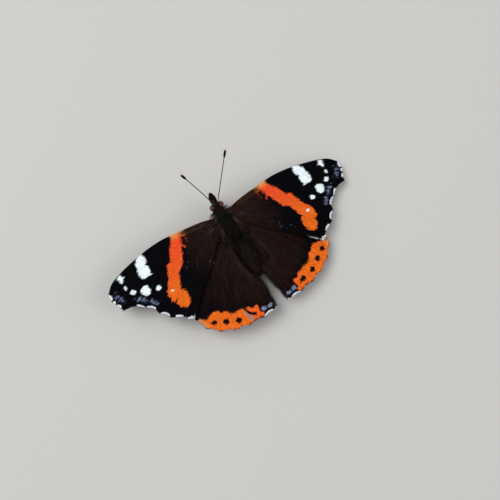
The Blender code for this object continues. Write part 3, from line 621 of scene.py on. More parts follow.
def make_wing(kind, side, materials):
    """One wing as a thin skin with pleats between its veins and the veins raised on both faces."""
    outline = wing_outline(kind, side)
    points = [outline]
    count = len(outline)
    edges = [(index, (index + 1) % count) for index in range(count)]
    taken = outline
    for course in VEINS[kind].values():
        line = smooth_curve(course, 0.3)
        along = unit(np.gradient(line, axis=0))
        across = np.column_stack((-along[:, 1], along[:, 0])) * VEIN_HALF_WIDTH
        for offset in (0, 1, -1):
            shifted = line + across * offset
            kept = area_depth(shifted, outline) > 0.12
            if offset:
                kept &= line_distance_min(shifted, taken) > 0.1
            points.append(shifted[kept])
            if not offset:
                base = sum(len(block) for block in points[:-1])
                numbers = np.cumsum(kept) - 1 + base
                edges += [(int(a), int(b)) for a, b, first, second in
                          zip(numbers, numbers[1:], kept, kept[1:]) if first and second]
        taken = np.vstack((taken, line))
    low, high = outline.min(0), outline.max(0)
    rows = np.arange(low[1], high[1], MESH_STEP * 0.87)
    grid = np.array([(x, y) for number, y in enumerate(rows)
                     for x in np.arange(low[0] + (number % 2) * MESH_STEP / 2, high[0], MESH_STEP)])
    grid = grid[area_depth(grid, outline) > 0.11]
    grid = grid[vein_distance(kind, grid) > VEIN_HALF_WIDTH + 0.09]
    points.append(grid)
    flat, _, faces, _, _, _ = delaunay_2d_cdt([tuple(p) for p in np.vstack(points)], edges, [],
                                              1, 1e-4)
    flat = np.array([tuple(p) for p in flat])
    faces = np.array([tuple(face) for face in faces if len(face) == 3])
    a, b, c = (flat[faces[:, index]] for index in range(3))
    turn = (b - a)[:, 0] * (c - a)[:, 1] - (b - a)[:, 1] * (c - a)[:, 0]
    faces[turn < 0] = faces[turn < 0][:, ::-1]
    skin_of_wing(kind, side, flat, faces, outline, materials)


def line_distance_min(places, others):
    """How far each place is from the nearest of some other points."""
    found = np.full(len(places), np.inf)
    for start in range(0, len(others), 512):
        gap = np.linalg.norm(places[:, None] - others[None, start : start + 512], axis=2)
        found = np.minimum(found, gap.min(1))
    return found


def wing_height(kind, flat, fields):
    """Pleats between the veins and folds, in millimetres off the wing's middle."""
    between = np.minimum(fields["vein"], 1.6) / 1.6
    fade = step_up(0.0, 1.5, fields["edge"]) * step_up(0.5, 4.0, np.hypot(flat[:, 0], flat[:, 1]))
    return (FOLD_HEIGHT * np.maximum(fields["fold"], 0) - PLEAT_DEPTH * (1 - between)) * fade


def skin_of_wing(kind, side, flat, faces, outline, materials):
    """The upper and lower faces of a wing, which share the points of its edge."""
    fields = wing_fields(kind, side, flat)
    rim = np.abs(area_depth(flat, outline))
    upper = wing_skin_place(kind, side, flat, fields, rim, 1)
    lower = wing_skin_place(kind, side, flat, fields, rim, -1)
    number = np.arange(len(flat))
    inner = np.flatnonzero(rim >= 1e-4)
    below = number.copy()
    below[inner] = len(flat) + np.arange(len(inner))
    over, under = (faces, faces[:, ::-1]) if side == "right" else (faces[:, ::-1], faces)
    name = f"{kind}_{side}_membrane"
    mesh = new_mesh(name, np.vstack((upper, lower[inner])), np.vstack((over, below[under])).tolist())
    keep = np.concatenate((number, inner))
    set_fields(mesh, {key: values[keep] for key, values in fields.items()})
    mesh.polygons.foreach_set("material_index", np.repeat((0, 1), len(faces)).astype(np.int32))
    set_map(mesh, np.concatenate((flat_map(kind, flat[over], False), flat_map(kind, flat[under], True))))
    dress(new_object(name, mesh), materials, [f"{kind}_{side}"])


def tuft_shape(name, rings, tip):
    """A closed tuft of length 1 along +Y. A ring is its place along, half width and half thickness."""
    corners = [(math.cos(angle), math.sin(angle)) for angle in np.radians((90, 210, 330))]
    points = [(half * x, along, thick * z) for along, half, thick in rings for x, z in corners]
    points.append((0, tip, 0))
    last = len(points) - 1
    faces = [(0, 1, 2)]
    for ring in range(len(rings) - 1):
        for side in range(3):
            a, b = ring * 3 + side, ring * 3 + (side + 1) % 3
            faces += [(a, a + 3, b), (b, a + 3, b + 3)]
    faces += [(last - 3 + side, last, last - 3 + (side + 1) % 3) for side in range(3)]
    mesh = bpy.data.meshes.new(name)
    mesh.from_pydata(points, [], faces)
    points = np.array(points)
    set_fields(mesh, {"along": np.clip(points[:, 1], 0, 1),
                      "patch": points * (0.5, 1, 0) - (0, 0.5, 0)})
    return new_object(name, mesh)


def coat_tree():
    """Tufts on the points of a mesh. Each lies along its point's lie and bends by its sweep."""
    tree = bpy.data.node_groups.new("coat of tufts", "GeometryNodeTree")
    tree.is_modifier = True
    for name, kind in (("Roots", "Geometry"), ("Tuft", "Object"), ("Finish", "Material"),
                       ("Length", "Float"), ("Width", "Float"), ("Thickness", "Float"),
                       ("Length spread", "Float"), ("Lean spread", "Float"), ("Seed", "Int")):
        tree.interface.new_socket(name, in_out="INPUT", socket_type=f"NodeSocket{kind}")
    tree.interface.new_socket("Coat", in_out="OUTPUT", socket_type="NodeSocketGeometry")
    given = add(tree, "NodeGroupInput").outputs
    read = {name: add(tree, "GeometryNodeInputNamedAttribute", {"Name": name},
                      data_type=kind).outputs[0]
            for kind, names in (("FLOAT_VECTOR", ("lie", "up", "sweep", "root", "patch")),
                                ("FLOAT", ("stretch", "along"))) for name in names}
    tuft = add(tree, "GeometryNodeObjectInfo", {"Object": given["Tuft"]}).outputs["Geometry"]
    turn = add(tree, "FunctionNodeRandomValue", {0: (-1, -1, -1), 1: (1, 1, 1),
                                                 "Seed": given["Seed"]}, data_type="FLOAT_VECTOR")
    lean = calc_vector(tree, "MULTIPLY_ADD", turn.outputs[0], given["Lean spread"], read["lie"])
    rotation = add(tree, "FunctionNodeAxesToRotation", {0: lean, 1: read["up"]},
                   primary_axis="Y", secondary_axis="Z").outputs[0]
    longer = add(tree, "FunctionNodeRandomValue", {2: -1.0, 3: 1.0, "Seed": given["Seed"]}).outputs[1]
    vary = calc(tree, "MULTIPLY_ADD", longer, given["Length spread"], 1.0)
    length = calc(tree, "MULTIPLY", calc(tree, "MULTIPLY", vary, read["stretch"]), given["Length"])
    scale = add(tree, "ShaderNodeCombineXYZ", {"X": given["Width"], "Y": length,
                                               "Z": given["Thickness"]}).outputs[0]
    placed = add(tree, "GeometryNodeInstanceOnPoints", {"Points": given["Roots"], "Instance": tuft,
                                                        "Rotation": rotation, "Scale": scale})
    real = add(tree, "GeometryNodeRealizeInstances", {0: placed.outputs[0]}).outputs[0]
    bend = calc(tree, "POWER", read["along"], 2.0)
    moved = add(tree, "ShaderNodeVectorMath", {0: read["sweep"], "Scale": bend},
                operation="SCALE").outputs[0]
    bent = add(tree, "GeometryNodeSetPosition", {"Geometry": real, "Offset": moved}).outputs[0]
    place = calc_vector(tree, "MULTIPLY_ADD", read["patch"], (PATCH,) * 3, read["root"])
    mapped = add(tree, "GeometryNodeStoreNamedAttribute", {"Geometry": bent, "Name": "OFBake",
                                                           "Value": place},
                 data_type="FLOAT2", domain="CORNER").outputs[0]
    done = add(tree, "GeometryNodeSetMaterial", {"Geometry": mapped, "Material": given["Finish"]})
    tree.links.new(done.outputs[0], add(tree, "NodeGroupOutput").inputs[0])
    return tree


def make_coat(name, kind, roots, fields, material):
    """A coat as one plain mesh, from root places in the insect's frame and what each tuft is like."""
    tuft, slot, length, width, thickness, length_spread, lean_spread = COATS[kind]
    mesh = new_mesh(name, roots, [])
    set_fields(mesh, {**fields, "sweep": fields.get("sweep", np.zeros((len(roots), 3))) * MM})
    made = new_object(name, mesh)
    modifier = made.modifiers.new("coat", "NODES")
    modifier.node_group = TREE
    values = {"Tuft": TUFTS[tuft], "Finish": material, "Length": length * MM, "Width": width * MM,
              "Thickness": thickness * MM, "Length spread": length_spread,
              "Lean spread": lean_spread, "Seed": SEED}
    for item in TREE.interface.items_tree:
        if item.in_out == "INPUT" and item.name in values:
            modifier[item.identifier] = values[item.name]
    bpy.context.view_layer.update()
    graph = bpy.context.evaluated_depsgraph_get()
    finished = bpy.data.meshes.new_from_object(made.evaluated_get(graph),
                                               preserve_all_data_layers=True, depsgraph=graph)
    made.modifiers.clear()
    made.data = finished
    finished.name = name
    for spare in ("lie", "up", "sweep", "stretch", "root", "patch"):
        if spare in finished.attributes:
            finished.attributes.remove(finished.attributes[spare])
    dress(made, material)


def wing_skin_place(kind, side, flat, fields, rim, face):
    """Places on the membrane's upper face, face = 1, or its lower face, face = -1."""
    half = MEMBRANE_HALF * np.sqrt(np.clip(rim / 0.25, 0, 1))
    ridge = VEIN_RISE * np.exp(-(fields["vein"] / VEIN_HALF_WIDTH) ** 2)
    half = half + ridge * np.clip(rim / 0.5, 0, 1)
    return wing_place(kind, side, flat, wing_height(kind, flat, fields) + face * half)


def wing_direction(kind, side, flat, way):
    """The direction in the insect's frame of a direction on the flat wing, and the wing's normal."""
    here = wing_place(kind, side, flat, 0 * flat[:, 0])
    there = wing_place(kind, side, flat + 0.05 * way, 0 * flat[:, 0])
    above = wing_place(kind, side, flat, 0 * flat[:, 0] + 0.05)
    return unit(there - here), unit(above - here)


def make_scales(kind, side, face, material):
    """Overlapping scales in rows across the rays of one face of a wing, larger than in life."""
    outline = wing_outline(kind, side)
    draw = np.random.default_rng(SEED + (face > 0) + 2 * (kind == "forewing"))
    places = []
    centre = RAY_CENTRES[kind]
    for row, reach in enumerate(np.arange(3.0, 36.0, SCALE_ROW)):
        angles = np.arange(-1.85, 0.35, SCALE_ACROSS / reach)
        angles = angles + (row % 2) * 0.5 * SCALE_ACROSS / reach
        places.append(centre + reach * np.column_stack((np.cos(angles), np.sin(angles))))
    flat = np.vstack(places)
    flat = flat + draw.uniform(-0.22, 0.22, flat.shape) * (SCALE_ROW, SCALE_ACROSS)
    rim = area_depth(flat, outline)
    flat, rim = flat[rim > 0.1], rim[rim > 0.1]
    fields = wing_fields(kind, side, flat)
    way = unit(flat - centre)
    lie, up = wing_direction(kind, side, flat, way)
    up = up * face
    roots = wing_skin_place(kind, side, flat, fields, rim, face) - up * 0.01
    fields.update(lie=lie + up * 0.06, up=up, root=map_root(kind, flat, face < 0),
                  stretch=np.clip(rim / 0.35, 0.35, 1), dice=draw.random(len(flat)))
    make_coat(f"{kind}_{side}_scales_{'above' if face > 0 else 'below'}", "scales", roots, fields,
              material)


def make_fringe(kind, side, material):
    """The long scales of a wing's margin: white in its hollows and dark at the ends of its veins."""
    draw = np.random.default_rng(SEED + 5)
    places, outward, hollow, run = margin(kind)
    depth = fringe_depth(kind, hollow, run)
    flat = places - outward * (depth[:, None] + 0.06)
    length = depth + 0.06
    first, last, strength = np.array(FRINGE_WHITE[kind])[run.astype(int)].T
    white = strength * step_up(first, first + 0.06, run % 1) * step_up(last, last - 0.06, run % 1)
    warm = 0 * white
    rear = smooth_curve(rear_edge(kind, side)[1:], 0.1)
    slope = unit(np.gradient(rear, axis=0))
    flat = np.vstack((flat, rear - 0.05 * np.column_stack((-slope[:, 1], slope[:, 0]))))
    rear_out = unit(np.column_stack((-slope[:, 1], slope[:, 0])) + 0.8 * slope * (-1, -1))
    outward = np.vstack((outward, rear_out))
    if kind == "forewing":
        inner = step_up(9.0, 5.0, rear[:, 0])
        rear_length = 0.42 + 0.35 * inner + 0.2 * step_up(14.6, 15.2, rear[:, 0])
        rear_white = np.maximum(step_up(14.5, 15.1, rear[:, 0]),
                                (0.35 if side == "right" else 0) * step_up(12.2, 13.6, rear[:, 0]))
        rear_warm = 0.08 + 0.6 * inner
    else:
        behind = step_up(-12.0, -13.5, rear[:, 1])
        rear_length = 0.15 + 0.35 * behind
        rear_white = 0.08 * behind
        rear_warm = 0.1 + 0.15 * behind
    length = np.concatenate((length, rear_length))
    white = np.concatenate((white, rear_white))
    warm = np.concatenate((warm, rear_warm))
    flat = np.repeat(flat, FRINGE_LAYERS, 0) + draw.normal(0, 0.03, (len(flat) * FRINGE_LAYERS, 2))
    outward = np.repeat(outward, FRINGE_LAYERS, 0) + draw.normal(0, 0.14, (len(flat), 2))
    length, white, warm = (np.repeat(value, FRINGE_LAYERS) for value in (length, white, warm))
    level = np.tile(np.linspace(-0.04, 0.05, FRINGE_LAYERS), len(flat) // FRINGE_LAYERS)
    lie, up = wing_direction(kind, side, flat, unit(outward))
    roots = wing_place(kind, side, flat, level + wing_height(kind, flat, {
        "vein": vein_distance(kind, flat), "edge": 0 * level, "fold": 0 * level}))
    fields = {"lie": lie, "up": up, "stretch": length * draw.uniform(0.62, 1.12, len(length)),
              "pale": np.clip(white * draw.uniform(0.8, 1.3, len(length)), 0, 1), "warm": warm,
              "root": map_root(kind, flat), "dice": draw.random(len(flat))}
    make_coat(f"{kind}_{side}_fringe", "fringe", roots, fields, material)


def make_wing_hair(kind, side, material):
    """Long fine hair that lies back from the root over the inner part of a wing's upper face."""
    draw = np.random.default_rng(SEED + 9)
    count = WING_HAIRS[kind]
    outline = wing_outline(kind, side)
    low, high = outline.min(0), outline.max(0)
    flat = draw.uniform(low, high, (count * 12, 2))
    reach = np.hypot(flat[:, 0], flat[:, 1])
    if kind == "forewing":
        density = np.exp(-(reach / 5.0) ** 2) + 0.5 * np.exp(-(reach / 9.0) ** 2)
    else:
        density = np.exp(-(np.maximum(flat[:, 0], 0) / 4.0) ** 2) * step_up(-17.5, -12, flat[:, 1])
        density = np.maximum(density, np.exp(-(reach / 6.0) ** 2))
    tract = np.sin(np.arctan2(flat[:, 1], flat[:, 0] + 4) * 31 + np.sin(reach * 0.4)) * 0.5 + 0.5
    fields = wing_fields(kind, side, flat)
    density = density * (0.3 + tract + 0.6 * fields["fold"]) * (1 - 0.85 * fields["furrow"])
    kept = (area_depth(flat, outline) > 0.25) & (draw.random(len(flat)) < density)
    flat, fold = flat[kept][:count], fields["fold"][kept][:count]
    reach = np.hypot(flat[:, 0], flat[:, 1])
    stretch = np.clip(0.6 + reach / 8, 0.6, 1.6) * draw.uniform(0.6, 1.25, len(flat))
    room = (9.4 - reach) if kind == "forewing" else 17.0 + flat[:, 1]
    stretch = np.minimum(stretch, np.maximum(room, 0.5) / 2)
    # Hairs on a fold are a little paler: painted sheen
    pale = 0.1 * draw.random(len(flat)) ** 3 + 0.05 * fold
    if kind == "forewing":
        way = unit(flat - (-2.5, 0.5))
    else:
        splay = (flat[:, 0] + 1.5) * (1 - 0.6 * step_up(-4.0, -14.0, flat[:, 1]))
        way = unit(np.column_stack((splay, flat[:, 1] - 2.5)))
    # Long strands that fan from the base, each of a few hairs side by side
    strands = 60 if kind == "forewing" else 150
    angle = np.radians(draw.uniform(-100, -25, strands) + (60 if kind == "forewing" else 0))
    start = draw.uniform(0.8, 6.5, strands)[:, None] * np.column_stack((np.cos(angle), np.sin(angle)))
    start = start[area_depth(start, outline) > 0.4]
    onward = unit(start - (-2.0, 1.5) + draw.normal(0, 0.3, start.shape))
    length = draw.uniform(*((2.0, 3.5) if kind == "forewing" else (3, 6)), len(start))
    courses = [(begin, begin + course * reach, draw.uniform(0.0, 0.13))
               for begin, course, reach in zip(start, onward, length)]
    for begin, end, tone in (*courses, *STRAY[f"{kind}_{side}"]):
        begin, end = np.array(begin), np.array(end)
        flat = np.vstack((flat, begin + draw.normal(0, 0.02, (2, 2))))
        way = np.vstack((way, np.tile(unit(end - begin), (2, 1))))
        stretch = np.concatenate((stretch, np.full(2, np.linalg.norm(end - begin) / HAIR_LENGTH)))
        pale = np.concatenate((pale, np.full(2, tone)))
    rim = np.maximum(area_depth(flat, outline), 0.25)
    fields = wing_fields(kind, side, flat)
    lie, up = wing_direction(kind, side, flat, way)
    roots = wing_skin_place(kind, side, flat, fields, rim, 1)
    bow = draw.normal(0, 0.12, len(flat)) + (0.14 if side == "left" else -0.14)
    aside = np.cross(up, lie) * bow[:, None]
    fields = {"lie": lie + up * (0.1 / np.maximum(stretch, 1))[:, None], "up": up, "stretch": stretch,
              "sweep": aside * stretch[:, None] - up * 0.08, "pale": pale,
              "warm": np.where(pale > 0.3, 0.3, HAIR_WARMTH[kind]), "dice": draw.random(len(flat)),
              "root": map_root(kind, flat)}
    make_coat(f"{kind}_{side}_hair", "wing hair", roots, fields, material)


def body_section(y):
    """Height of the middle, half width and half height of the body at places along it."""
    thorax = np.sqrt(np.clip(1 - np.abs(y / THORAX_HALF_LENGTH) ** THORAX_SQUARENESS, 0, 1))
    t = np.clip((ABDOMEN_FRONT - y) / (ABDOMEN_FRONT - ABDOMEN_TIP), 0, 1)
    swell = np.where(t < 0.36, 0.85 + 0.15 * np.sin(math.pi / 2 * np.clip(t / 0.36, 0, 1)),
                     np.clip(1 - (np.clip(t - 0.36, 0, 1) / 0.66) ** 2.3, 0, 1) ** 0.62)
    abdomen = swell * step_up(-2.6, -4.6, y)
    segment = (t * ABDOMEN_SEGMENTS) % 1
    ring = np.where((t > 0.02) & (t < 0.93),
                    0.05 * segment ** 2 - 0.07 * np.exp(-(segment / 0.12) ** 2), 0)
    head = np.sqrt(np.clip(1 - np.abs((y - THORAX_END - HEAD_MIDDLE) / 1.02) ** 2.6, 0, 1))
    neck = 1.35 * step_up(2.8, 3.6, y) * step_up(5.3, 4.5, y)
    widths, heights = (
        (thorax * (thorax_half - THORAX_COAT),
         np.clip(abdomen * abdomen_half - ABDOMEN_COAT + ring, 0, 9), neck, head * head_half)
        for thorax_half, abdomen_half, head_half in (
            (THORAX_HALF_WIDTH, ABDOMEN_HALF_WIDTH, 1.1),
            (THORAX_HALF_HEIGHT, ABDOMEN_HALF_HEIGHT, 1.02)))
    middles = (0 * y, -0.25 - 0.4 * t ** 1.5, 0 * y + 0.2, 0 * y + NECK[2])
    width, height = (sum(part ** 6 for part in parts) ** (1 / 6) for parts in (widths, heights))
    share = np.array([part ** 6 + 1e-12 for part in heights])
    middle = (share * np.array(middles)).sum(0) / share.sum(0)
    return middle, width, height


def turned_with_head(points):
    """Turns what is ahead of the neck with the head."""
    angle = HEAD_YAW * step_up(THORAX_END - 0.3, THORAX_END + 0.3, points[:, 1])
    x, y = points[:, 0], points[:, 1] - NECK[1]
    return np.column_stack((x * np.cos(angle) - y * np.sin(angle),
                            x * np.sin(angle) + y * np.cos(angle) + NECK[1], points[:, 2]))


def head_place(points):
    """From the head's own frame, at the neck, to the insect's frame."""
    c, s = math.cos(HEAD_YAW), math.sin(HEAD_YAW)
    points = np.asarray(points, float)
    return NECK + np.column_stack((points[:, 0] * c - points[:, 1] * s,
                                   points[:, 0] * s + points[:, 1] * c, points[:, 2]))


def body_place(y, angle):
    """Places on the body's skin, from the place along it and the angle round it, 90 degrees up."""
    middle, width, height = body_section(y)
    x, z = np.cos(angle) * width, np.sin(angle) * height
    top = step_up(0.5, 0.95, np.sin(angle))
    furrow = 0.1 * np.exp(-(x / 0.22) ** 2) * step_up(-1.6, 0.0, y) * step_up(3.4, 2.4, y)
    collar = 0.1 * np.exp(-((y - 3.25) / 0.3) ** 2) - 0.06 * np.exp(-((y - 2.75) / 0.16) ** 2)
    shield = 0.1 * np.exp(-((y + 2.2) / 0.55) ** 2) - 0.07 * np.exp(-((y + 1.45) / 0.14) ** 2)
    shoulder = 0.3 * np.exp(-((y - 2.1) / 0.6) ** 2) * np.exp(-((np.sin(angle) - 0.45) / 0.25) ** 2)
    z = z + middle + top * (collar + shield - furrow)
    x = x + np.sign(np.cos(angle)) * shoulder + 0.1 * step_up(-4.0, -7.0, y)
    return turned_with_head(np.column_stack((x, y, z)))


def body_frame(y, angle):
    """Places on the body, their outward normals and the direction towards the tail."""
    here = body_place(y, angle)
    back = unit(body_place(y - 0.03, angle) - here)
    round_it = unit(body_place(y, angle + 0.02) - here)
    return here, unit(np.cross(back, round_it)), back


def body_map(y, angle):
    return np.column_stack(((angle / (2 * math.pi)) % 1 * 0.98 + 0.01,
                            (y + 13.6) / 19.9 * 0.98 + 0.01, 0 * y))


def body_fields(y, angle):
    """How pale and how warm the body's hair and skin are, round the body and along it."""
    side = np.exp(-(np.sin(angle) / 0.35) ** 2)
    under = step_up(-0.2, -0.8, np.sin(angle))
    segment = (np.clip((ABDOMEN_FRONT - y) / (ABDOMEN_FRONT - ABDOMEN_TIP), 0, 1)
               * ABDOMEN_SEGMENTS) % 1
    ringed = np.exp(-((segment - 0.92) / 0.1) ** 2) * (y < ABDOMEN_FRONT - 0.5)
    head = step_up(THORAX_END - 0.2, THORAX_END + 0.5, y)
    rear = step_up(-3.5, -5.5, y)
    pale = 0.004 + 0.06 * side * (1 - 0.85 * rear) + 0.35 * under + 0.03 * ringed
    warm = 0.1 + 0.35 * head + 0.3 * rear + 0.1 * side + 0.3 * under
    return {"pale": np.clip(pale, 0, 1), "warm": np.clip(warm, 0, 1)}


def make_body(material):
    """One skin over the head, thorax and abdomen."""
    along, around = BODY_RINGS, BODY_SIDES
    share = (1 - np.cos(math.pi * (np.arange(along) + 0.5) / along)) / 2
    spread = 0.6 * share + 0.4 * (np.arange(along) + 0.5) / along
    y = ABDOMEN_TIP + 0.16 + spread * (THORAX_END + HEAD_MIDDLE + 1.01 - ABDOMEN_TIP - 0.16)
    angle = np.arange(around) * 2 * math.pi / around - math.pi / 2
    all_y, all_angle = np.repeat(y, around), np.tile(angle, along)
    points = body_place(all_y, all_angle)
    ends = np.vstack((points[:around].mean(0), points[-around:].mean(0)))
    faces = capped_faces(along, around, turned=True)
    mesh = new_mesh("body_skin", np.vstack((points, ends)), faces)
    all_y = np.concatenate((all_y, (y[0], y[-1])))
    all_angle = np.concatenate((all_angle, (math.pi / 2, math.pi / 2)))
    set_fields(mesh, body_fields(all_y, all_angle))
    corner = np.array([vertex for face in faces for vertex in face])
    places = body_map(all_y, all_angle)[corner][:, :2]
    start = 0
    for face in faces:
        mine = places[start : start + len(face)]
        if np.ptp(mine[:, 0]) > 0.5:
            mine[mine[:, 0] < 0.5, 0] += 0.98
        start += len(face)
    set_map(mesh, places)
    dress(new_object("body_skin", mesh), material, ("head", "thorax", "abdomen"))


def wisps(draw, here, spacing):
    """For each hair the way to the middle of its wisp, and one random tone for each wisp."""
    middles = here[draw.permutation(len(here))[: max(8, int(len(here) / spacing))]]
    nearest = np.concatenate([
        np.linalg.norm(here[first : first + 1000, None] - middles[None], axis=2).argmin(1)
        for first in range(0, len(here), 1000)])
    return middles[nearest] - here, draw.random(len(middles))[nearest]


def make_body_coats(material):
    """Hair on the thorax, abdomen and head, in the lie that it has on each."""
    draw = np.random.default_rng(SEED + 20)
    for name, count, low, high in BODY_COATS:
        y = draw.uniform(low, high, count)
        angle = draw.uniform(0, 2 * math.pi, count)
        _, width, _ = body_section(y)
        kept = draw.random(count) < np.clip(width / (2.5 if name == "thorax_coat" else 1.7), 0.3, 1)
        if name == "head_coat":
            local = np.abs(y - THORAX_END - HEAD_MIDDLE)
            kept &= ~((np.abs(np.cos(angle)) > 0.72) & (local < 0.75))
        y, angle = y[kept], angle[kept]
        here, normal, back = body_frame(y, angle)
        side = np.exp(-((np.sin(angle) - 0.15) / 0.4) ** 2)[:, None]
        sign = np.sign(np.cos(angle))[:, None] * (1, 0, 0)
        gather, tone = wisps(draw, here, 16)
        if name == "thorax_coat":
            collar = step_up(2.4, 3.6, y)[:, None]
            rump = step_up(-1.8, -3.4, y)[:, None]
            lie = back * (1 - 1.2 * collar) + normal * (0.42 + 0.25 * side + 0.3 * collar - 0.15 * rump)
            lie = lie + sign * (side * 0.8 + collar * 0.5) + gather * 0.9
            stretch = 0.9 + 1.25 * side[:, 0] * (1 - 0.6 * collar[:, 0])
            stretch += 0.2 * collar[:, 0] + 0.8 * rump[:, 0]
            sweep = (back * 0.35 - normal * 0.3 * (1 - 0.5 * side)) * stretch[:, None]
        elif name == "abdomen_coat":
            tip = step_up(-12.2, -13.4, y)[:, None]
            lie = back * (1 + tip) + normal * 0.26 + sign * side * 0.4 + gather * 0.7
            stretch = 0.62 + 0.5 * side[:, 0] + 0.1 * tip[:, 0]
            sweep = -normal * 0.14 * stretch[:, None]
        else:
            front = step_up(5.3, 6.0, y)[:, None]
            lie = -back * (0.5 + front * 0.5) + normal * (0.9 - 0.3 * front) + sign * 0.3 + gather
            stretch = 0.55 + 0.3 * step_up(5.0, 6.1, y) + 0.1 * side[:, 0]
            sweep = -back * 0.2 * stretch[:, None]
        fields = body_fields(y, angle)
        fields["pale"] = np.clip(fields["pale"] * (0.4 * draw.random(len(y)) + 1.6 * tone)
                                 + 0.3 * (draw.random(len(y)) < 0.008), 0, 1)
        fields.update(lie=lie, up=normal, stretch=stretch * draw.uniform(0.7, 1.15, len(y)),
                      sweep=sweep, root=body_map(y, angle), dice=draw.random(len(y)))
        make_coat(name, "body hair", here - normal * 0.03, fields, material)
    make_shoulder_hair(draw, material)


def make_shoulder_hair(draw, material):
    """Long loose hair from the sides of the thorax, which lies over the bases of the wings."""
    count = SHOULDER_HAIRS
    y = draw.uniform(-3.6, 3.7, count)
    left = np.arange(count) % 2
    angle = np.where(left, math.pi, 0) + draw.uniform(0.35, 0.85, count) * np.where(left, -1, 1)
    here, normal, back = body_frame(y, angle)
    sign = np.sign(np.cos(angle))[:, None] * (1, 0, 0)
    gather, tone = wisps(draw, here, 6)
    lie = sign * 0.9 + normal * 0.35 + back * (0.55 - 0.12 * y[:, None]) + gather * 0.6
    stretch = draw.uniform(1.7, 3.1, count)
    fields = body_fields(y, angle)
    fields["pale"] = np.clip(0.012 + 0.22 * tone ** 2 * (1 - 0.6 * step_up(0.5, -2.0, y))
                             + 0.25 * (draw.random(count) < 0.04), 0, 1)
    fields["warm"] = 0.3 + 0.4 * draw.random(count)
    fields.update(lie=lie, up=normal, stretch=stretch, sweep=back * 0.3 * stretch[:, None]
                  - np.array((0, 0, 0.42)) * stretch[:, None], root=body_map(y, angle),
                  dice=draw.random(count))
    make_coat("shoulder_hair", "shoulder hair", here - normal * 0.03, fields, material)


def tube_mesh(name, path, radii, sides, flatten, fields):
    """A round closed tube along a path in the insect's frame, with rounded ends."""
    path, radii = np.asarray(path, float), np.asarray(radii, float)
    along = unit(np.gradient(path, axis=0))
    across = unit(np.cross(path[-1] - path[0], (0.0, 0.02, 1.0)))
    upward = unit(np.cross(across, along))
    across = np.cross(along, upward)
    turns = -2 * math.pi * (np.arange(sides) + 0.5) / sides
    ring = (across[:, None] * np.cos(turns)[:, None] * flatten
            + upward[:, None] * np.sin(turns)[:, None]) * radii[:, None, None]
    points = (path[:, None] + ring).reshape(-1, 3)
    ends = np.vstack((path[0] - along[0] * radii[0] * 0.5, path[-1] + along[-1] * radii[-1] * 0.6))
    mesh = new_mesh(name, np.vstack((points, ends)), capped_faces(len(path), sides))
    extra = {"run": np.concatenate((np.repeat(np.linspace(0, 1, len(path)), sides), (0, 1)))}
    for key, values in fields.items():
        extra[key] = np.concatenate((np.repeat(values, sides), (values[0], values[-1])))
    set_fields(mesh, extra)
    return mesh


def mirrored(points, side):
    points = np.array(points, float)
    return points * (1 if side == "right" else -1, 1, 1)


def make_eye(side, material):
    """A compound eye: half of an oval dome, set in the side of the head."""
    rings, sides = EYE_RINGS, EYE_SIDES
    points = []
    for ring in range(rings):
        angle = math.pi / 2 * (1.12 * ring / rings - 0.12)
        for index in range(sides):
            turn = 2 * math.pi * index / sides
            points.append((math.sin(angle), math.cos(angle) * math.cos(turn),
                           math.cos(angle) * math.sin(turn)))
    points.append((1, 0, 0))
    points = EYE_MIDDLE + np.array(points) * EYE_HALF
    last = len(points) - 1
    faces = [tuple(reversed(range(sides))), *ring_faces(rings, sides)]
    faces += [(last - sides + index, last - sides + (index + 1) % sides, last)
              for index in range(sides)]
    if side == "left":
        faces = [tuple(reversed(face)) for face in faces]
    mesh = new_mesh(f"eye_{side}_facets", head_place(mirrored(points, side)), faces)
    dress(new_object(mesh.name, mesh), material, [f"eye_{side}"])


def make_palp(side, skin, fur):
    """A three-jointed palp, thick in the middle and pointed, under bristly scales."""
    path = smooth_curve(((0.3, HEAD_MIDDLE + 0.5, -0.75), (0.4, HEAD_MIDDLE + 1.35, -0.38),
                         (0.38, HEAD_MIDDLE + 2.3, 0.02), (0.16, HEAD_MIDDLE + 3.35, 0.4)), 0.06)
    run = np.linspace(0, 1, len(path))
    radii = 0.05 + 0.33 * np.sin(math.pi * np.clip(run * 1.05, 0, 1)) ** 0.6 * (1 - 0.5 * run)
    radii *= 1 - 0.18 * np.exp(-((run - 0.72) / 0.025) ** 2)
    mesh = tube_mesh(f"palp_{side}_scaled", head_place(mirrored(path, side)), radii, 16, 0.8,
                     {"pale": 0.03 + 0 * run, "warm": 0.9 + 0 * run})
    dress(new_object(mesh.name, mesh), skin, [f"palp_{side}"])
    draw = np.random.default_rng(SEED + 31)
    count = PALP_HAIRS
    place = draw.uniform(0, len(path) - 1.001, count)
    low = place.astype(int)
    share = (place - low)[:, None]
    middle = path[low] * (1 - share) + path[low + 1] * share
    along = unit(path[low + 1] - path[low])
    turn = draw.uniform(0, 2 * math.pi, count)
    around = np.column_stack((np.cos(turn), 0 * turn, np.sin(turn)))
    around = unit(around - (around * along).sum(1)[:, None] * along)
    roots = middle + around * np.interp(place, np.arange(len(path)), radii)[:, None] * (0.75, 1, 0.9)
    lie = along + around * (0.36 + 0.25 * (np.sin(turn) < 0))[:, None]
    turned = [head_place(mirrored(value, side)) - head_place(mirrored(0 * value, side))
              for value in (lie, around)]
    fields = {"lie": turned[0], "up": turned[1], "stretch": np.interp(place / len(path), (0, 0.6, 1),
                                                                      (0.5, 0.62, 0.34)),
              "pale": np.clip(0.5 * (np.sin(turn) < -0.4) + 0.08 * draw.random(count) ** 4, 0, 1),
              "warm": np.full(count, 0.95), "dice": draw.random(count),
              "root": np.column_stack((turn / 7, place / len(path) * 0.9 + 0.05, 0 * turn))}
    make_coat(f"palp_{side}_coat", "palp hair", head_place(mirrored(roots, side)), fields, fur)


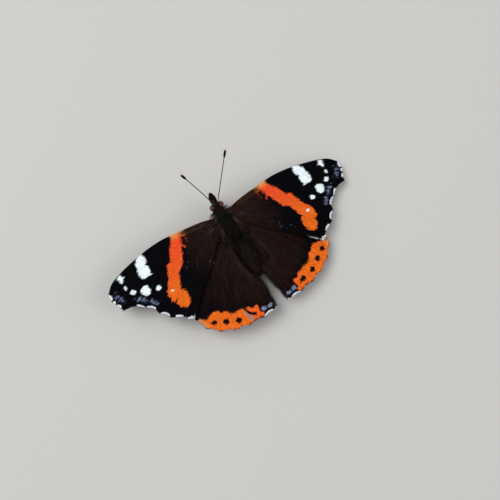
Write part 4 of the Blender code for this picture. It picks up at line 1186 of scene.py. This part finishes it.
def make_antenna(side, material):
    """A thin ringed shaft that ends in a flattened club with a pale tip."""
    start = np.array((0.46, HEAD_MIDDLE + 0.5, 0.9))
    splay = ANTENNA_SPLAY[side]
    out = np.array((math.sin(splay), math.cos(splay), 0)) * ANTENNA_REACH[side]
    rise = np.array((0, 0, ANTENNA_RISE[side]))
    base = np.array((0.5, HEAD_MIDDLE + 0.55, 1.35))
    path = smooth_curve((start, base + out * 0.02 + rise * 0.03, base + out * 0.48 + rise * 0.55,
                         base + out + rise), 0.05)
    run = np.linspace(0, 1, len(path))
    rings = np.abs(np.sin(math.pi * ANTENNA_JOINTS * run))
    club = step_up(0.84, 0.9, run) * np.sqrt(np.clip(1 - step_up(0.955, 1.004, run), 0.03, 1))
    radii = 0.085 + 0.012 * rings + 0.15 * club + 0.1 * np.exp(-(run / 0.02) ** 2)
    mesh = tube_mesh(f"antenna_{side}_ringed", head_place(mirrored(path, side)), radii, 14, 1.15,
                     {"pale": np.clip((rings < 0.35) * 0.55 * (run < 0.84), 0, 1)
                      + step_up(0.975, 0.99, run), "club": step_up(0.82, 0.86, run)})
    dress(new_object(mesh.name, mesh), material, [f"antenna_{side}"])


def make_tongue(material):
    """The tongue, rolled up under the face, with its first stretch from the mouth."""
    middle = np.array((0, HEAD_MIDDLE + 0.7, -1.95))
    path = [(0, HEAD_MIDDLE + 0.55, -0.9)]
    for index in range(90):
        turn = math.radians(120 - index * 11)
        radius = 0.5 - 0.0036 * index
        path.append(middle + (0, radius * math.cos(turn), radius * math.sin(turn)))
    path = smooth_curve(path, 0.08)
    run = np.linspace(0, 1, len(path))
    along = unit(np.gradient(path, axis=0))
    sides = 12
    turns = 2 * math.pi * np.arange(sides) / sides
    inward = np.column_stack((0 * run, -along[:, 2], along[:, 1]))
    radii = 0.11 - 0.05 * run
    ring = (np.array((1.0, 0, 0)) * np.cos(turns)[:, None]
            + inward[:, None] * np.sin(turns)[:, None]) * radii[:, None, None]
    points = (path[:, None] + ring).reshape(-1, 3)
    faces = [tuple(range(sides)), tuple(reversed(range(len(points) - sides, len(points)))),
             *ring_faces(len(path), sides, turned=True)]
    mesh = new_mesh("tongue_coiled", head_place(points), faces)
    set_fields(mesh, {"run": np.repeat(run, sides)})
    dress(new_object("tongue_coiled", mesh), material, ["proboscis"])


def make_leg(name, side, skin, fur):
    """A jointed leg: hip, thigh, shin, five toe joints and a claw, under short hair."""
    joints, sizes = LEGS[name]
    joints = np.array(joints)
    path, radii = [joints[0]], [sizes[0]]
    for number, (start, end) in enumerate(zip(joints, joints[1:])):
        length = float(np.linalg.norm(end - start))
        toes = 4 if number == len(joints) - 2 and name != "leg_fore" else 1
        for t in np.arange(0.05, length, 0.05) / length:
            swell = math.sin(math.pi * ((t * toes) % 1)) ** 0.6
            thick = sizes[number] * (1 - t) + sizes[number + 1] * t
            path.append(start + (end - start) * t)
            radii.append(thick * (0.74 + 0.3 * swell))
        path.append(end)
        radii.append(sizes[number + 1] * 0.8)
    path, radii = np.array(path), np.array(radii)
    soft = np.array([path[max(0, i - 2) : i + 3].mean(0) for i in range(len(path))])
    path[2:-2] = soft[2:-2]
    floor = -THORAX_PLACE[2]
    if name != "leg_fore":
        path[:, 2] = np.maximum(path[:, 2], floor + radii)
    run = np.linspace(0, 1, len(path))
    mesh = tube_mesh(f"{name}_{side}_jointed", mirrored(path, side), radii, 12, 1.0,
                     {"pale": 0.2 + 0.35 * run, "warm": 0.5 + 0 * run})
    dress(new_object(mesh.name, mesh), skin, [f"{name}_{side}"])
    draw = np.random.default_rng(SEED + 41)
    count = LEG_HAIRS[name]
    place = draw.uniform(4, len(path) - 2, count)
    low = place.astype(int)
    along = unit(path[low + 1] - path[low])
    turn = draw.uniform(0, 2 * math.pi, count)
    around = unit(np.cross(along, np.column_stack((np.cos(turn), np.sin(turn), np.cos(turn * 2)))))
    roots = path[low] + around * radii[low, None] * 0.9
    share = place / len(path)
    stretch = np.interp(share, (0, 0.3, 0.75, 1), (1.3, 0.8, 0.4, 0.3))
    if name == "leg_fore":
        stretch = np.full(count, 0.75)
    near_floor = (roots[:, 2] < floor + 0.3)
    around[near_floor, 2] = np.abs(around[near_floor, 2])
    roots[:, 2] = np.maximum(roots[:, 2], floor + 0.06)
    lie = along + around * 0.35
    fields = {"lie": mirrored(lie, side), "up": mirrored(around, side), "stretch": stretch,
              "pale": np.clip(0.2 + 0.4 * draw.random(count), 0, 1), "warm": np.full(count, 0.45),
              "dice": draw.random(count), "root": np.column_stack((turn / 7, share, 0 * turn))}
    make_coat(f"{name}_{side}_hair", "leg hair", mirrored(roots, side), fields, fur)


def new_material(name, roughness, specular):
    """A material, its tree and its shader."""
    material = bpy.data.materials.new(name)
    material.use_nodes = True
    shader = material.node_tree.nodes["Principled BSDF"]
    shader.inputs["Roughness"].default_value = roughness
    shader.inputs["Specular IOR Level"].default_value = specular
    return material, material.node_tree, shader


def read_fields(tree, *names):
    return {name: add(tree, "ShaderNodeAttribute", attribute_name=name).outputs["Fac"]
            for name in names}


def ramp(tree, value, low, high, bottom=0.0, top=1.0):
    """Carries low and high over to bottom and top, and holds what lies beyond them."""
    return add(tree, "ShaderNodeMapRange", {"Value": value, "From Min": low, "From Max": high,
                                            "To Min": bottom, "To Max": top}).outputs[0]


def noise(tree, place, scale, detail):
    return add(tree, "ShaderNodeTexNoise", {"Vector": place, "Scale": scale,
                                            "Detail": detail}).outputs["Fac"]


def layered(tree, base, *layers):
    """Colours, from hex codes or nodes, laid over one another by their masks."""
    base = linear_colour(base) if isinstance(base, str) else base
    for mask, over in layers:
        over = linear_colour(over) if isinstance(over, str) else over
        base = add(tree, "ShaderNodeMix", {0: mask, 6: base, 7: over}, data_type="RGBA",
                   clamp_factor=True).outputs[2]
    return base


def shaded(tree, colour, shade):
    """A colour made darker or lighter by a number."""
    return add(tree, "ShaderNodeMix", {0: 1.0, 6: colour, 7: shade}, data_type="RGBA",
               blend_type="MULTIPLY").outputs[2]


def finish_shader(tree, shader, colour, height=None, strength=0.0, depth=0.0, invert=False):
    """Gives a shader its colour, and fine relief of a depth in millimetres if it has a height."""
    tree.links.new(colour, shader.inputs["Base Color"])
    if height is not None:
        bump = add(tree, "ShaderNodeBump", {"Strength": strength, "Distance": depth * MM,
                                            "Height": height}, invert=invert)
        tree.links.new(bump.outputs[0], shader.inputs["Normal"])


def wing_scale_material(name, upper):
    """Wing scales: soft powdery chitin. Pigment is the same over one scale, so edges are ragged."""
    material, tree, shader = new_material(name, 0.6, 0.025)
    code = WING_COLOURS[upper]
    field = read_fields(tree, "band", "white", "blue", "dark", "amber", "tan", "costal", "brown",
                        "vein", "wear")
    ray = add(tree, "ShaderNodeAttribute", attribute_name="ray").outputs["Vector"]
    cells, streaks, patches = (calc_vector(tree, "MULTIPLY", ray, (out, round_it, 1))
                               for out, round_it in ((4.2, 6.0), (0.1, 1.7), (0.9, 2.6)))
    scales = add(tree, "ShaderNodeTexVoronoi", {"Vector": cells, "Scale": 1.0, "Randomness": 0.7})
    dice = add(tree, "ShaderNodeSeparateColor", {0: scales.outputs["Color"]}).outputs
    streaks = noise(tree, streaks, 1.0, 4.0)
    ragged = {}
    for key, spread in (("band", 0.3), ("white", 0.16), ("dark", 0.08)):
        moved = calc(tree, "MULTIPLY_ADD", dice[0], spread, field[key])
        ragged[key] = ramp(tree, moved, spread / 2 - 0.03, spread / 2 + 0.03)
    speckled = calc(tree, "MULTIPLY_ADD", dice[1], 0.5, field["blue"])
    speckled = calc(tree, "MULTIPLY_ADD", noise(tree, patches, 1.0, 2.0), 3.2, speckled)
    brown = calc(tree, "MULTIPLY", field["brown"], ramp(tree, streaks, 0.35, 0.65, 0.4, 1.65))
    costal = calc(tree, "MULTIPLY", ramp(tree, streaks, 0.36, 0.6), field["costal"])
    ground = layered(tree, code["black"], (brown, code["brown"]), (costal, code["costal"]))
    fire = layered(tree, code["red"], (field["amber"], code["orange"]),
                   (ramp(tree, field["vein"], 0.1, 0.2, 0.12, 0.0), code["vein"]))
    colour = layered(tree, ground, (ragged["band"], fire), (field["tan"], code["tan"]),
                     (ragged["white"], code["white"]),
                     (ramp(tree, field["wear"], -0.02, 0.1, 0.0, 0.9), code["wear"]),
                     (ragged["dark"], code["dot"]),
                     (ramp(tree, speckled, 2.05, 3.2, 0.0, 0.6), code["blue"]))
    colour = shaded(tree, colour, ramp(tree, dice[2], 0.0, 1.0, 0.84, 1.12))
    finish_shader(tree, shader, colour, scales.outputs["Distance"], 0.25, 0.02)
    return material


def hair_material(name, dark, warm, pale, warm_pale, roughness, tipped=False):
    """Hair and long scales: dark chitin, warmer or paler tuft by tuft, or only at its end."""
    material, tree, shader = new_material(name, roughness, 0.04)
    field = read_fields(tree, "pale", "warm", "dice", "along")
    if tipped:
        field["pale"] = calc(tree, "MULTIPLY", field["pale"], ramp(tree, field["along"], 0.15, 0.4))
    low = layered(tree, dark, (field["warm"], warm))
    high = layered(tree, pale, (field["warm"], warm_pale))
    colour = layered(tree, low, (field["pale"], high))
    finish_shader(tree, shader, shaded(tree, colour, ramp(tree, field["dice"], 0.0, 1.0, 0.75, 1.2)))
    return material


def cuticle_material(name, dark, warm, pale, roughness, grain, specular=0.4):
    """Bare cuticle: hard chitin with a satin shine and fine pits."""
    material, tree, shader = new_material(name, roughness, specular)
    field = read_fields(tree, "pale", "warm")
    place = add(tree, "ShaderNodeTexCoord").outputs["Object"]
    pits = noise(tree, place, 1 / (grain * MM), 3.0)
    colour = layered(tree, dark, (field["warm"], warm), (field["pale"], pale))
    colour = shaded(tree, colour, ramp(tree, pits, 0.3, 0.7, 0.7, 1.25))
    finish_shader(tree, shader, colour, pits, 0.3, 0.03)
    return material


def eye_material():
    """Facets of a compound eye: smooth chitin lenses, brown with darker bars."""
    material, tree, shader = new_material("compound eye facets", 0.32, 0.28)
    place = add(tree, "ShaderNodeTexCoord").outputs["Object"]
    facets = add(tree, "ShaderNodeTexVoronoi", {"Vector": place, "Scale": 1 / (FACET * MM),
                                                "Randomness": 0.25})
    bars = ramp(tree, noise(tree, place, 1 / (EYE_BAR * MM), 1.0), 0.42, 0.6)
    colour = layered(tree, "5E3414", (bars, "1E100A"))
    finish_shader(tree, shader, colour, facets.outputs["Distance"], 0.35, 0.02, invert=True)
    return material


def antenna_material():
    """Antenna cuticle: black brown, with pale scales at each joint and a cream tip."""
    material, tree, shader = new_material("antenna cuticle", 0.55, 0.08)
    field = read_fields(tree, "pale", "club")
    colour = layered(tree, "211A17", (field["club"], "070404"), (field["pale"], "A8977A"))
    finish_shader(tree, shader, colour)
    return material


def make_stage():
    """A plain pale floor and soft lights."""
    mesh = bpy.data.meshes.new("floor")
    corners = ((-1, -1), (1, -1), (1, 1), (-1, 1))
    mesh.from_pydata([(x * FLOOR_HALF, y * FLOOR_HALF, 0) for x, y in corners], [], [(0, 1, 2, 3)])
    floor = new_object("floor", mesh)
    material, _, shader = new_material("pale floor", 0.9, 0.1)
    shader.inputs["Base Color"].default_value = linear_colour(FLOOR_COLOUR)
    mesh.materials.append(material)
    for name, place, size, power in LAMPS:
        lamp = bpy.data.lights.new(name, "AREA")
        lamp.shape = "DISK"
        lamp.size = size
        lamp.energy = power
        made = new_object(name, lamp)
        made.location = place
        aim = np.array(place) / np.linalg.norm(place)
        made.rotation_euler = (math.acos(aim[2]), 0, math.atan2(aim[1], aim[0]) + math.pi / 2)
    world = bpy.data.worlds.new("soft room")
    world.use_nodes = True
    background = world.node_tree.nodes["Background"]
    background.inputs["Color"].default_value = linear_colour(ROOM_COLOUR)
    background.inputs["Strength"].default_value = ROOM_STRENGTH
    bpy.context.scene.world = world
    bpy.context.scene.view_settings.view_transform = "Standard"


def make_camera():
    """The photograph's view, from the turns that fit both pairs of wings to it."""
    turn_z, turn_x, turn_y = np.radians(CAMERA_TURNS)
    cz, sz, cx, sx, cy, sy = (math.cos(turn_z), math.sin(turn_z), math.cos(turn_x),
                              math.sin(turn_x), math.cos(turn_y), math.sin(turn_y))
    rotation = (np.array(((cz, -sz, 0), (sz, cz, 0), (0, 0, 1)))
                @ np.array(((1, 0, 0), (0, cx, -sx), (0, sx, cx)))
                @ np.array(((cy, 0, sy), (0, 1, 0), (-sy, 0, cy))))
    data = bpy.data.cameras.new("camera")
    camera = new_object("camera", data)
    place = to_row(rotation.T @ (0, 0, CAMERA_DISTANCE))
    matrix = np.eye(4)
    matrix[:3, :3] = rotation.T
    matrix[:3, 3] = place
    camera.matrix_world = Matrix(matrix.tolist())
    data.sensor_width = 36.0
    data.lens = data.sensor_width * CAMERA_DISTANCE / MM_PER_PIXEL / IMAGE
    data.shift_x = (IMAGE / 2 - VIEW_CENTRE[0]) / IMAGE
    data.shift_y = (VIEW_CENTRE[1] - IMAGE / 2) / IMAGE
    data.clip_start = 0.005
    data.clip_end = 20.0
    bpy.context.scene.camera = camera


TREE = coat_tree()
TUFTS = {
    "hair": tuft_shape("hair tuft", ((0, 0.5, 0.5), (0.4, 0.45, 0.45), (0.8, 0.26, 0.26)), 1.0),
    "scale": tuft_shape("scale tuft", ((0, 0.3, 0.3), (0.55, 0.55, 0.55), (0.9, 0.36, 0.4)), 1.0),
    "fringe": tuft_shape("fringe tuft", ((0, 0.35, 0.5), (0.6, 0.55, 0.5), (0.93, 0.4, 0.4)), 1.0),
}
above = wing_scale_material("wing scales above", True)
below = wing_scale_material("wing scales below", False)
wing_hair = hair_material("wing hair", "080607", "2A1811", "E8EEF6", "8A7468", 0.6)
fringe = hair_material("fringe scales", "080607", "2A1811", "F4FAFF", "8A7468", 0.6, tipped=True)
fur = hair_material("body hair", "0B0C0A", "24120D", "8E8C86", "8A6E56", 0.65)
skin = cuticle_material("body skin", "0A0A08", "1C110D", "4C483F", 0.7, 0.12, specular=0.05)
leg_skin = cuticle_material("leg cuticle", "2A211B", "4A3524", "8C7458", 0.5, 0.1)
tongue_skin = cuticle_material("tongue cuticle", "3A2216", "3A2216", "3A2216", 0.35, 0.1)
antenna_skin = antenna_material()
facets = eye_material()

make_body(skin)
make_body_coats(fur)
make_tongue(tongue_skin)
for side in ("left", "right"):
    for kind in ("forewing", "hindwing"):
        make_wing(kind, side, (above, below))
        make_scales(kind, side, 1, above)
        make_scales(kind, side, -1, below)
        make_fringe(kind, side, fringe)
        make_wing_hair(kind, side, wing_hair)
    make_eye(side, facets)
    make_palp(side, skin, fur)
    make_antenna(side, antenna_skin)
    for name in LEGS:
        make_leg(name, side, leg_skin, fur)
for tuft in TUFTS.values():
    bpy.data.objects.remove(tuft)
make_stage()
make_camera()
